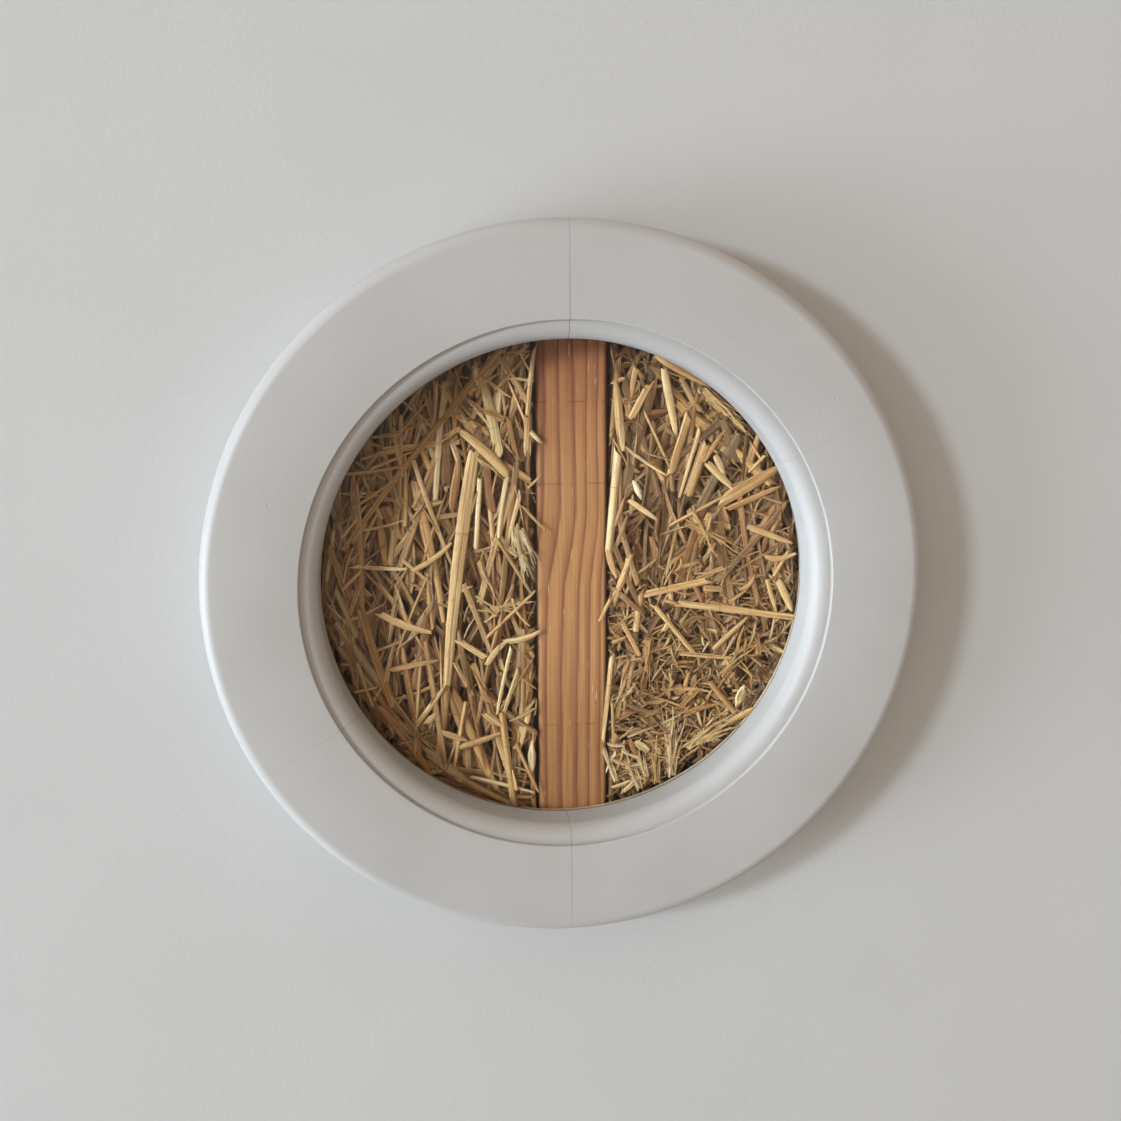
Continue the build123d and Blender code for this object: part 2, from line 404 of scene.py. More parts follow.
def addStudio():
    wall = addPrimitive(bpy.ops.mesh.primitive_circle_add, "backdrop_wall", vertices=160,
                        radius=studio["wallHole"], location=(0, studio["wallPlane"], 0),
                        rotation=(math.radians(90), 0, 0))
    settle(wall)
    startEdit(wall)
    bpy.ops.mesh.extrude_edges_move()
    scale = studio["wallReach"] / studio["wallHole"]
    bpy.ops.transform.resize(value=(scale, 1, scale))
    bpy.ops.mesh.select_all(action="SELECT")
    bpy.ops.mesh.normals_make_consistent(inside=False)
    endEdit()
    if wall.data.polygons[0].normal.y > 0:  # the wall faces the room
        startEdit(wall)
        bpy.ops.mesh.flip_normals()
        endEdit()
    setMaterial(wall, plainMaterial("wall finish", studio["wallColor"], seeThroughBack=True))
    floor = addPrimitive(bpy.ops.mesh.primitive_plane_add, "studio_floor", size=2 * studio["wallReach"],
                         location=(0, 0, studio["floorHeight"]))
    settle(floor)
    setMaterial(floor, plainMaterial("floor finish", studio["floorColor"]))
    for name, values in lamps.items():
        addLamp(name + "_lamp", **values)


def addWorld():
    world = bpy.data.worlds.new("studio world")
    bpy.context.scene.world = world
    startTree(world)
    way = separate(addNode("ShaderNodeTexCoord").outputs["Generated"])[0]
    sides = ramp(remap(way, -1.0, 1.0), (studio["worldLeft"], studio["worldRight"]))
    light = addNode("ShaderNodeBackground", {"Color": sides})
    seen = addNode("ShaderNodeBackground", {"Color": studio["worldSeen"]})
    path = addNode("ShaderNodeLightPath").outputs["Is Camera Ray"]
    both = addNode("ShaderNodeMixShader", {0: path, 1: light.outputs[0], 2: seen.outputs[0]})
    addNode("ShaderNodeOutputWorld", {"Surface": both.outputs[0]})


addStudio()
addWorld()
bpy.context.scene.view_settings.view_transform = "Standard"
print("studio ready")


# ring of six painted segments, each the moulded section turned through its share of the circle
ring = {
    "count": 6,
    "sight": 151.0 * mm,
    "mouldingWidth": 11.0 * mm,
    "quirkStep": 3.0 * mm,
    "rebateWidth": 10.0 * mm,
    "glassBed": 9.0 * mm,  # from the wall's surface to the rebate's shoulder
    "grooveInner": 171.85 * mm,
    "grooveOuter": 176.65 * mm,
    "grooveDepth": 5.0 * mm,
    "rounding": (("nose", 7.5 * mm, 14), ("sightFront", 9.8 * mm, 16), ("quirkTop", 0.8 * mm, 4),
                 ("heel", 1.0 * mm, 1), ("mouth", 1.7 * mm, 1)),  # corner, size and steps
    "spinSteps": 44,
    "smooth": 32,  # degrees
    "seamArris": 0.14 * mm,
    "slot": (33.2 * mm, 6.2 * mm, 24.2 * mm),  # along the spoke, through the board, across the joint
    "slotRadius": 185.5 * mm,
    "slotDepth": 22.0 * mm,  # from the face
    "slotEnds": (-0.5, 0.5),  # shares of a segment from its middle
    "pinHole": 0.8 * mm,
    "pinHoleEnd": 168.65 * mm,
    "pinHoleY": -2.0 * mm,
    "pinEnds": (-0.25, 0.25),
}
segmentTurn = math.radians(360 / ring["count"])
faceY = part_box("frame_segment_1")[0].y
rebate = ring["sight"] + ring["rebateWidth"]


def drawSection(name, corners):
    # one vertex, extruded from corner to corner and filled
    section = addPrimitive(bpy.ops.mesh.primitive_plane_add, name, size=1 * mm, location=corners[0])
    settle(section)
    startEdit(section)
    bpy.ops.mesh.merge(type="CENTER")
    for last, corner in zip(corners, corners[1:]):
        bpy.ops.mesh.extrude_region_move(TRANSFORM_OT_translate={"value": Vector(corner) - Vector(last)})
    bpy.ops.mesh.select_all(action="SELECT")
    bpy.ops.mesh.edge_face_add()
    return section


def modelSegment():
    ledgeY = faceY + ring["quirkStep"]
    quirk = ring["sight"] + ring["mouldingWidth"]
    outer = cadBox[1][0]
    points = {
        "sightBack": (ring["sight"], -ring["glassBed"]),
        "sightFront": (ring["sight"], ledgeY),
        "quirkFoot": (quirk, ledgeY),
        "quirkTop": (quirk, faceY),
        "nose": (outer, faceY),
        "heel": (outer, 0),
        "mouth": (ring["grooveOuter"], 0),
        "grooveFar": (ring["grooveOuter"], -ring["grooveDepth"]),
        "grooveNear": (ring["grooveInner"], -ring["grooveDepth"]),
        "land": (ring["grooveInner"], 0),
        "rebateBack": (rebate, 0),
        "rebateFront": (rebate, -ring["glassBed"]),
    }
    corners = {name: Vector((radius, y, 0)) for name, (radius, y) in points.items()}
    segment = drawSection("segment", list(corners.values()))
    for name, size, steps in ring["rounding"]:
        pick(segment, "VERT", lambda spot: (spot - corners[name]).length < 0.05 * mm)
        bpy.ops.mesh.bevel(offset=size, segments=steps, affect="VERTICES", profile=0.5)
    bpy.ops.mesh.select_all(action="SELECT")
    bpy.ops.mesh.spin(steps=ring["spinSteps"], angle=segmentTurn, center=(0, 0, 0), axis=(0, 1, 0))
    endEdit()
    fixNormals(segment)
    return segment


def cutSegment(segment, start):
    # tongue slots in both ends, and two pin holes in the rebate's wall
    for end in ring["slotEnds"]:
        turn = Matrix.Rotation(-(start + end * segmentTurn), 4, "Y")
        tongueSlot = addPrimitive(bpy.ops.mesh.primitive_cube_add, "tongue_slot", size=1)
        tongueSlot.data.transform(Matrix.Diagonal((*ring["slot"], 1)))
        middle = Matrix.Translation((ring["slotRadius"], faceY + ring["slotDepth"], 0))
        tongueSlot.data.transform(turn @ middle)
        cutAway(segment, tongueSlot)
    for end in ring["pinEnds"]:
        turn = Matrix.Rotation(-(start + end * segmentTurn), 4, "Y")
        pinHole = addPrimitive(bpy.ops.mesh.primitive_cylinder_add, "pin_hole", vertices=16,
                               radius=ring["pinHole"], depth=2 * (ring["pinHoleEnd"] - rebate))
        pinHole.data.transform(Matrix.Rotation(math.radians(90), 4, "Y"))
        pinHole.data.transform(turn @ Matrix.Translation((rebate, ring["pinHoleY"], 0)))
        cutAway(segment, pinHole)


def layRing():
    segment = modelSegment()
    middle = sum((vert.co for vert in segment.data.vertices), Vector()) / len(segment.data.vertices)
    start = math.atan2(middle.z, middle.x)
    cutSegment(segment, start)
    smoothByAngle(segment, ring["smooth"])
    pieces = []
    for number in range(ring["count"]):
        wanted = math.radians(90) - (number + 0.5) * segmentTurn
        piece = copyOf(segment)
        piece.name = "ring_segment_" + str(number + 1)
        piece.data.transform(Matrix.Rotation(start - wanted, 4, "Y"))
        startEdit(piece)
        pick(piece, "EDGE", lambda spot: abs(spot.x) < 0.01 * mm)  # the ends at twelve and six o'clock
        if any(edge.select for edge in bmesh.from_edit_mesh(piece.data).edges):
            bpy.ops.mesh.bevel(offset=ring["seamArris"], segments=1)
        endEdit()
        pieces.append(piece)
    bpy.data.objects.remove(segment)
    return pieces


paint = {
    "color": (0.495, 0.475, 0.457),
    "worn": (0.465, 0.445, 0.425),
    "brighter": 1.03,
    "cloud": (11.0, 3.0),
    "cloudAt": (0.3, 0.55, 0.75),
    "strokes": (4.0, 900.0, 3.0, 0.6),  # round the ring, across it, detail and roughness
    "strokeTint": (0.10, (0.25, (0.75, 0.74, 0.72)), (0.75, (1, 1, 1))),
    "stipple": (1400.0, 2.0),
    "roughness": (0.37, 0.49),
    "backRoughness": 0.25,
    "specular": 0.4,
    "bump": (0.22 * mm, 0.6),
    "heights": {"strokes": 0.6, "stipple": 0.12, "seam": 1.4, "dent": 1.6},
    "seamWidth": 0.45 * mm,
    "seams": ((90, 0.75), (-90, 0.7), (210, 0.4), (30, 0.3)),  # degrees, and how far each one shows
    "seamColor": (0.16, 0.13, 0.10),
    "seamBlend": 0.62,
    "seamFade": (ring["sight"], 0.22, 1.0, 0.45),  # towards the rim
    "dents": ((735, 338), (836, 398), (822, 415), (817, 437), (884, 463), (268, 505)),  # in photo pixels
    "dentSize": 1.1 * mm,
    "tapeLine": 1.3 * mm,  # where the reveal meets the glazing tape
    "tapeColor": (0.05, 0.045, 0.04),
    "ragged": (90.0, 2.0),
    "raggedReach": 1.2 * mm,
    "paintEnd": -1.0 * mm,  # behind it the timber is bare
}
boards = {
    "light": (0.60, 0.42, 0.235),
    "dark": (0.44, 0.27, 0.135),
    "shift": 0.31,  # so that no two boards have the same grain
    "wander": ((9, 9, 7), 2.0),
    "wanderReach": 6.0,
    "lines": 130.0,  # growth lines to a metre
    "linesAt": (0.0, 0.25, 0.75, 1.0),
    "grain": ((900, 900, 16), 4.0, 0.6),
    "grainTint": (0.45, (0.3, (0.66, 0.60, 0.54)), (0.7, (1.1, 1.08, 1.05))),
}


def boardColor(x, y, z):
    # bare boards: the grain runs straight along each segment and turns at the seams
    quarter = math.radians(90)
    number = calc("FLOOR", calc("DIVIDE", minus(quarter, calc("ARCTAN2", z, x)), segmentTurn))
    middle = minus(quarter, times(plus(number, 0.5), segmentTurn))
    out, along = turned(x, z, calc("COSINE", middle), calc("SINE", middle))
    spot = combine(out, plus(y, times(number, boards["shift"])), along)
    wander = times(noise(spot, *boards["wander"]), boards["wanderReach"])
    growth = calc("FRACT", plus(times(out, boards["lines"]), wander))
    colors = (boards["dark"], boards["light"], boards["light"], boards["dark"])
    color = ramp(growth, tuple(zip(boards["linesAt"], colors)))
    return tint(color, noise(spot, *boards["grain"]), *boards["grainTint"])


def seamLines(x, z, radius):
    # hairline seams between the segments, by their angle and how far they show
    line = 0.0
    for angle, strength in paint["seams"]:
        out, across = turned(x, z, math.cos(math.radians(angle)), math.sin(math.radians(angle)))
        mark = remap(calc("ABSOLUTE", across), 0.0, paint["seamWidth"], strength, 0.0, smooth=True)
        line = calc("MAXIMUM", line, times(mark, calc("GREATER_THAN", out, 0.0)))
    return times(line, remap(radius, *paint["seamFade"]))


def paintMaterial():
    material, shader = newMaterial("brushed warm grey paint")
    spot, x, y, z = place()
    radius, spokeX, spokeZ = polar(x, z)
    around, across, detail, rough = paint["strokes"]
    along = combine(times(spokeX, around), times(spokeZ, around), times(plus(radius, y), across))
    strokes = noise(along, 1.0, detail, rough)
    bodies = (paint["worn"], paint["color"], shaded(paint["color"], paint["brighter"]))
    body = ramp(noise(spot, *paint["cloud"]), tuple(zip(paint["cloudAt"], bodies)))
    line = seamLines(x, z, radius)
    streaked = tint(body, strokes, *paint["strokeTint"])
    color = blend(times(line, paint["seamBlend"]), streaked, paint["seamColor"])
    tapeAt = -ring["glassBed"] - paint["tapeLine"]
    nearTape = remap(y, tapeAt, tapeAt + 0.2 * paint["tapeLine"])
    inReveal = calc("LESS_THAN", radius, ring["sight"] + 0.1 * mm)
    color = blend(times(nearTape, inReveal), color, paint["tapeColor"])
    ragged = times(noise(spot, *paint["ragged"]), paint["raggedReach"])
    backMask = calc("GREATER_THAN", minus(y, ragged), paint["paintEnd"])
    color = blend(backMask, color, boardColor(x, y, z))
    rough = plus(gloss(strokes, paint), times(backMask, paint["backRoughness"]))
    size = paint["heights"]
    height = plus(times(strokes, size["strokes"]), times(noise(spot, *paint["stipple"]), size["stipple"]))
    height = minus(height, times(line, size["seam"]))
    for px, py in paint["dents"]:
        dent = tuple(photoSpot(px, py, faceY))
        away = addNode("ShaderNodeVectorMath", {0: spot, 1: dent}, operation="DISTANCE").outputs["Value"]
        height = minus(height, remap(away, 0.0, paint["dentSize"], size["dent"], 0.0, smooth=True))
    finish(shader, color, rough, height, paint)
    return material


ringPaint = paintMaterial()
for number, piece in enumerate(layRing()):
    setMaterial(piece, ringPaint)
    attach(piece, "root")
    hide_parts("frame_segment_" + str(number + 1))
print("ring segments laid")


glass = {"tint": (0.985, 0.995, 0.99), "ior": 1.5, "mirror": (0.3, 0.3, 0.3), "haze": 0.0}


def glassMaterial():
    material, shader = newMaterial("window glass")
    feed(shader, {"Base Color": glass["tint"], "Transmission Weight": 1.0, "Roughness": glass["haze"],
                  "IOR": glass["ior"], "Specular Tint": glass["mirror"]})
    shadow = addNode("ShaderNodeLightPath").outputs["Is Shadow Ray"]
    mixIn(shadow, shader, addNode("ShaderNodeBsdfTransparent", {"Color": glass["tint"]}))
    return material


setMaterial(nodes["glass_pane"], glassMaterial())


# stud: softwood with growth lines that bend past a knot on its hidden side
stud = {
    "early": (0.530, 0.248, 0.092),
    "mid": (0.415, 0.175, 0.061),
    "late": (0.29, 0.105, 0.036),
    "growth": ((0.0, "late"), (0.035, "mid"), (0.08, "early"), (0.40, "early"), (0.78, "mid"), (0.93, "late"),
               (1.0, "late")),
    "lineGap": 9.6 * mm,
    "firstLine": 20.35,
    "closing": 6.0,  # the lines close up towards the right
    "slant": 0.35,  # of the lines through the stud's depth
    "bend": (-10.0 * mm, 50.0 * mm, -6.0 * mm, 0.0),
    "waver": ((12, 12, 6), 2.0),
    "waverReach": 5.5 * mm,
    "ragged": ((700, 700, 30), 3.0),
    "raggedReach": 0.20,
    "uneven": ((55, 55, 3), 1.0),
    "unevenReach": 1.3,
    "fibres": ((1500, 1500, 22), 4.0, 0.65),
    "fibreTint": (0.62, (0.32, (0.62, 0.55, 0.5)), (0.68, (1.18, 1.16, 1.12))),
    "broad": ((420, 420, 5), 3.0, 0.6),
    "broadTint": (0.6, (0.3, (0.80, 0.75, 0.70)), (0.7, (1.12, 1.12, 1.12))),
    "patches": ((20, 20, 7), 2.0),
    "patchTint": (0.35, (0.3, (0.86, 0.80, 0.76)), (0.7, (1.08, 1.08, 1.1))),
    "ends": (((60.0 * mm, 150.0 * mm, 0.0, 1.0), (0.76, 0.58, 0.51)),  # painted shade: darker and redder towards the top, under the ring
             ((-110.0 * mm, -40.0 * mm, 1.0, 0.0), (0.86, 0.84, 0.80))),  # duller towards the bottom
    "saw": (0.45, 0.30, 0.20),
    "sawAt": (112.0 * mm, 61.0 * mm, -96.0 * mm),
    "sawEdge": (0.2 * mm, 0.7 * mm, 1.0, 0.0),
    "sawBroken": ((110, 110, 300), 1.0),
    "sawBreaks": (0.50, 0.56, 0.0, 0.55),
    "flecks": ((640, 640, 60), 2.0),
    "fleckReach": (0.70, 0.76, 0.0, 0.55),
    "fleckAndGlintColor": (0.80, 0.55, 0.34),
    "roughness": (0.5, 0.68),
    "heights": (0.03, 0.7),  # of the growth lines and of the fibres
    "bump": (0.3 * mm, 0.6),
}


def studMaterial():
    material, shader = newMaterial("stud softwood")
    spot, x, y, z = place()

    def wander(name):
        # a noise about zero, times its reach
        return times(minus(noise(spot, *stud[name]), 0.5), stud[name + "Reach"])

    bend = remap(z, *stud["bend"], smooth=True)
    shifted = plus(minus(minus(x, bend), times(y, stud["slant"])), wander("waver"))
    closed = plus(shifted, times(times(shifted, shifted), stud["closing"]))
    steps = plus(calc("DIVIDE", closed, stud["lineGap"]), stud["firstLine"])
    turns = calc("FRACT", plus(steps, plus(wander("ragged"), wander("uneven"))))
    color = ramp(turns, [(at, stud[name]) for at, name in stud["growth"]])
    fibres = noise(spot, *stud["fibres"])
    color = tint(color, fibres, *stud["fibreTint"])
    color = tint(color, noise(spot, *stud["broad"]), *stud["broadTint"])
    color = tint(color, noise(spot, *stud["patches"]), *stud["patchTint"])
    # painted shade darkens the stud's top under the ring; towards the bottom the tone is only duller
    for reach, tone in stud["ends"]:
        color = blend(remap(z, *reach, smooth=True), color, tone, "MULTIPLY")
    # short saw marks across the face, and pale flecks along the grain: torn fibres that also carry painted
    # highlights
    broken = remap(noise(spot, *stud["sawBroken"]), *stud["sawBreaks"])
    for height in stud["sawAt"]:
        close = remap(calc("ABSOLUTE", minus(z, height)), *stud["sawEdge"])
        color = blend(times(close, broken), color, stud["saw"], "MULTIPLY")
    flecks = remap(noise(spot, *stud["flecks"]), *stud["fleckReach"])
    color = blend(flecks, color, stud["fleckAndGlintColor"])
    height = plus(times(turns, stud["heights"][0]), times(fibres, stud["heights"][1]))
    finish(shader, color, gloss(fibres, stud), height, stud)
    return material


setMaterial(nodes["stud"], studMaterial())
print("glass and stud finished")


# hidden and back pieces
tongue = {
    "light": (0.62, 0.45, 0.27),
    "dark": (0.44, 0.28, 0.15),
    "grain": ((500, 900, 40), 4.0, 0.6),  # scale, detail and roughness, here and below
    "colorsAt": (0.28, 0.62),
    "cloud": (30.0, 2.0),
    "cloudTint": (0.4, (0.3, (0.85, 0.82, 0.8)), (0.7, (1.05, 1.05, 1.05))),
    "bump": (0.2 * mm, 0.5),
    "roughness": (0.54, 0.68),
}
# painted shade: the core's near-black colours stand in for the shade deep in the pack
shadowed = {
    **tongue,
    "light": (0.20, 0.12, 0.055),
    "dark": (0.03, 0.018, 0.008),
    "grain": ((260, 260, 60), 4.0, 0.6),
    "roughness": (0.74, 0.88),
}
bead = {
    "light": (0.66, 0.50, 0.31),
    "dark": (0.46, 0.31, 0.17),
    "colorsAt": (0.28, 0.60),
    "slant": 1.3,
    "grainAround": 5.0,
    "grainAcross": 1100.0,
    "grain": (1.0, 4.0, 0.6),
    "roughness": (0.54, 0.68),
    "bump": (0.15 * mm, 0.5),
}
hoop = {
    "inner": 171.98 * mm,
    "ply": 1.2 * mm,
    "plies": (0.05, 4.95),
    "light": (0.62, 0.45, 0.27),
    "dark": (0.47, 0.30, 0.155),
    "endShade": 0.62,
    "faces": (120.0, 22.0, 4.0, 0.62),  # round the hoop, along its depth, detail and roughness
    "ends": ((1300, 1300, 1300), 2.0),
    "glue": (0.20, 0.11, 0.05),
    "glueReach": (0.0, 0.10, 0.7, 0.0),
    "roughness": (0.50, 0.65),
    "bump": (0.2 * mm, 0.6),
}
tape = {
    "cells": 2600.0,
    "colors": ((0.1, (0.018, 0.018, 0.019)), (0.8, (0.05, 0.05, 0.052))),
    "roughness": (0.75, 0.92),
    "bump": (0.1 * mm, 0.6),
}
steel = {
    "cloud": (420.0, 4.0, 0.6),
    "colorsAt": (0.32, 0.66),
    "zinc": ((0.62, 0.60, 0.55), (0.44, 0.43, 0.41)),  # bright and dull
    "pin": ((0.50, 0.50, 0.50), (0.34, 0.34, 0.34)),
    "roughness": (0.42, 0.26),
    "bump": (0.05 * mm, 0.4),
}


def woodMaterial(name, values):
    material, shader = newMaterial(name)
    spot = place()[0]
    grain = noise(spot, *values["grain"])
    color = ramp(grain, tuple(zip(values["colorsAt"], (values["dark"], values["light"]))))
    color = tint(color, noise(spot, *values["cloud"]), *values["cloudTint"])
    finish(shader, color, gloss(grain, values), grain, values)
    return material


def beadMaterial():
    # a strip bent round the ring, with its grain along the bend
    material, shader = newMaterial("bead softwood")
    x, y, z = place()[1:]
    radius, spokeX, spokeZ = polar(x, z)
    across = times(plus(radius, times(y, bead["slant"])), bead["grainAcross"])
    around = combine(times(spokeX, bead["grainAround"]), times(spokeZ, bead["grainAround"]), across)
    grain = noise(around, *bead["grain"])
    color = ramp(grain, tuple(zip(bead["colorsAt"], (bead["dark"], bead["light"]))))
    finish(shader, color, gloss(grain, bead), grain, bead)
    return material


def hoopMaterial():
    # bent plywood: plies one inside the other, faces with their grain along the hoop's depth
    material, shader = newMaterial("bent plywood")
    spot, x, y, z = place()
    radius, spokeX, spokeZ = polar(x, z)
    depth = calc("DIVIDE", minus(radius, hoop["inner"]), hoop["ply"])
    odd = calc("MODULO", calc("FLOOR", depth), 2.0)
    around, along, detail, rough = hoop["faces"]
    bent = combine(times(spokeX, around), times(spokeZ, around), times(y, along))
    faces = noise(bent, 1.0, detail, rough)
    faceColor = ramp(faces, [(0.3, hoop["dark"]), (0.6, hoop["light"])])
    ends = noise(spot, *hoop["ends"])
    endColor = ramp(ends, [(0.3, shaded(hoop["dark"], hoop["endShade"])), (0.7, hoop["dark"])])
    glue = remap(calc("FRACT", depth), *hoop["glueReach"])
    first, last = hoop["plies"]
    inside = times(calc("GREATER_THAN", depth, first), calc("LESS_THAN", depth, last))
    color = blend(times(glue, inside), blend(odd, faceColor, endColor), hoop["glue"])
    finish(shader, color, gloss(faces, hoop), faces, hoop)
    return material


def tapeMaterial():
    material, shader = newMaterial("glazing tape foam")
    inputs = {"Vector": place()[0], "Scale": tape["cells"]}
    cells = addNode("ShaderNodeTexVoronoi", inputs).outputs["Distance"]
    finish(shader, ramp(cells, tape["colors"]), remap(cells, 0.0, 1.0, *tape["roughness"]), cells, tape)
    return material


def steelMaterial(name, bright, dull):
    material, shader = newMaterial(name)
    cloud = noise(place()[0], *steel["cloud"])
    color = ramp(cloud, tuple(zip(steel["colorsAt"], (dull, bright))))
    finish(shader, color, gloss(cloud, steel), cloud, steel)
    feed(shader, {"Metallic": 1.0})
    return material


# screws through the hoop into the stud's ends, countersunk heads with a cross recess
screw = {
    "sides": 28,
    "headRadius": 4.0 * mm,
    "shankRadius": 2.0 * mm,
    "tipRadius": 0.3 * mm,
    "length": 40.0 * mm,
    "point": 5.0 * mm,
    "seat": 177.6 * mm,  # the heads' tops, from the hoop's axis
    "seatOver": 0.4 * mm,
    "spacing": 16.0 * mm,
    "recess": (4.6 * mm, 1.1 * mm, 3.2 * mm),  # length, width and twice the depth
    "recessTaper": 0.45,
    "threads": 9,
    "threadStart": 13.0 * mm,
    "threadDepth": 0.3 * mm,
    "turned": {1: {1: 110, -1: -14}, -1: {1: 48, -1: -76}},  # degrees, by end and side
    "smooth": 35,
}


def modelScrew():
    body = addPrimitive(bpy.ops.mesh.primitive_circle_add, "screw", vertices=screw["sides"],
                        radius=screw["headRadius"], fill_type="NGON")
    startEdit(body)
    shank, start = screw["shankRadius"], screw["threadStart"]
    steps = [(shank - screw["headRadius"], shank), (-start, shank)]
    pitch = (screw["length"] - screw["point"] - start) / screw["threads"]
    for number in range(screw["threads"]):
        top = start + number * pitch
        steps += [(-top - pitch * 0.5, shank - screw["threadDepth"]), (-top - pitch, shank)]
    steps.append((-screw["length"], screw["tipRadius"]))
    drawUp(steps, screw["headRadius"])
    endEdit()
    fixNormals(body)
    for turn in (0, 90):
        cutter = addPrimitive(bpy.ops.mesh.primitive_cube_add, "cross_recess", size=1,
                              rotation=(0, 0, math.radians(turn)), scale=screw["recess"])
        settle(cutter)
        startEdit(cutter)
        pick(cutter, "FACE", lambda spot, normal: normal.z < -0.9)
        taper = screw["recessTaper"]
        bpy.ops.transform.resize(value=(taper, taper, 1), center_override=(0, 0, -screw["recess"][2] / 2))
        endEdit()
        cutAway(body, cutter)
    return body


def driveScrews():
    pattern = modelScrew()
    low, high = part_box("stud")
    middleX, middleY = (low.x + high.x) / 2, (low.y + high.y) / 2
    lean = math.acos(middleX / (screw["seat"] + screw["seatOver"]))
    driven = []
    for end in (1, -1):
        out = Vector((math.cos(lean), 0, end * math.sin(lean)))
        for side in (1, -1):
            copy = copyOf(pattern)
            spot = out * screw["seat"] + Vector((0, middleY + side * screw["spacing"] / 2, 0))
            twist = Matrix.Rotation(math.radians(screw["turned"][end][side]), 4, "Z")
            turn = out.to_track_quat("Z", "Y").to_matrix().to_4x4()
            copy.data.transform(Matrix.Translation(spot) @ turn @ twist)
            driven.append(copy)
    bpy.data.objects.remove(pattern)
    screws = joinAll(driven, "screws_driven")
    smoothByAngle(screws, screw["smooth"])
    setMaterial(screws, steelMaterial("zinc plated steel", *steel["zinc"]))
    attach(screws, "root")
    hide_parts("stud_screws")


driveScrews()
setMaterial(nodes["glazing_tape"], tapeMaterial())
setMaterial(nodes["glazing_bead"], beadMaterial())
setMaterial(nodes["bead_pins"], steelMaterial("pin steel", *steel["pin"]))
setMaterial(nodes["lining_hoop"], hoopMaterial())
tonguePly = woodMaterial("tongue plywood", tongue)
for number in range(ring["count"]):
    setMaterial(nodes["joint_tongue_" + str(number + 1)], tonguePly)
print("back pieces finished")


# straw: each kind is grown once, one metre long and wide, and its copies are scaled, bent and laid;
# its rings give their height and width
strawKinds = {
    "culm": {"sides": 9, "flat": 0.8, "hollow": 0.30,
             "rings": ((0.16, 1.0), (0.33, 1.0), (0.342, 1.14), (0.356, 1.14), (0.366, 0.98), (0.55, 0.97),
                       (0.78, 0.95), (1.0, 0.93))},
    "plainCulm": {"sides": 8, "flat": 0.7, "hollow": 0.28,
                  "rings": ((0.2, 1.02), (0.4, 0.98), (0.6, 1.0), (0.8, 0.97), (1.0, 0.98))},
    "crushed": {"sides": 10, "flat": 0.32, "hollow": 0.2,
                "rings": ((0.1, 1.04), (0.3, 0.97), (0.5, 1.03), (0.7, 0.98), (0.9, 1.0), (1.0, 0.92))},
    "thin": {"sides": 6, "flat": 0.85, "rings": ((0.25, 1.0), (0.5, 0.95), (0.75, 0.85), (1.0, 0.6))},
    "sliver": {"sides": 4, "flat": 0.45, "rings": ((0.1, 1.5), (0.5, 1.7), (0.85, 1.2), (1.0, 0.3))},
    "awn": {"sides": 3, "flat": 1.0, "rings": ((0.2, 1.0), (0.4, 0.95), (0.6, 0.8), (0.8, 0.6), (1.0, 0.25))},
}
stripKinds = {
    "split": {"flat": 0.9, "wall": 0.07,
              "rings": ((0.12, 1.0), (0.35, 0.98), (0.6, 1.02), (0.85, 0.97), (1.0, 0.9))},
    "sheath": {"flat": 0.34, "wall": 0.03,
               "rings": ((0.08, 1.15), (0.25, 1.25), (0.5, 1.2), (0.75, 1.02), (0.92, 0.8), (1.0, 0.6))},
    "leaf": {"flat": 0.42, "wall": 0.035,
             "rings": ((0.1, 1.2), (0.3, 1.3), (0.5, 1.25), (0.7, 1.1), (0.88, 0.86), (1.0, 0.42))},
    "scale": {"flat": 0.55, "wall": 0.05, "rings": ((0.25, 1.9), (0.55, 2.1), (0.85, 1.1), (1.0, 0.1))},
}
ear = {
    "thickness": 0.30,
    "rachis": (0.035, 0.035, 0.95, 1),
    "spikelets": 24,
    "from": 0.04,
    "reach": 0.80,
    "turns": (90, -90, 60, -120, 20),  # degrees round the rachis, one after the other
    "spread": 30.0,
    "spreadShare": (1.15, 0.5),  # at the foot, and how much less at the tip
    "parts": (("scale", 0.075, 0.20, 0.0), ("awn", 0.014, 0.42, 0.10)),  # kind, width, length, start
}
tuft = {
    "thickness": 0.30,
    "strands": 18,
    "strandWidth": (0.05, 0.11),
    "strandLength": (0.45, 1.0),
    "unevenStart": 0.35,
    "fan": 0.24,
    "fanDeep": 0.4,  # share of the fan through the pack
    "root": 0.10,
    "sway": 0.06,
    "waves": 7.0,
    "seed": 4,
}
hollowEnd = {"rim": 0.55, "sunk": 0.012}  # share of the kind's hollow, and share of the length
kindSmooth = 50  # degrees
grown = {}


def flatten(obj, flat):
    bpy.ops.mesh.select_all(action="SELECT")
    bpy.ops.transform.resize(value=(1, flat, 1), center_override=(0, 0, 0))
    bpy.ops.mesh.normals_make_consistent(inside=False)
    endEdit()
    return obj


def growStalk(name, sides, flat, rings, hollow=0.0):
    stalk = addPrimitive(bpy.ops.mesh.primitive_circle_add, "grown_" + name, vertices=sides, radius=0.5,
                         fill_type="NGON")
    startEdit(stalk)
    drawUp(rings, 1.0)
    for end, inwards in ((0.0, hollowEnd["sunk"]), (1.0, -hollowEnd["sunk"])):
        if hollow:
            pick(stalk, "FACE", lambda spot, normal: abs(spot.z - end) < 0.001)
            bpy.ops.mesh.inset(thickness=hollow * hollowEnd["rim"])
            bpy.ops.transform.translate(value=(0, 0, inwards))
    return flatten(stalk, flat)


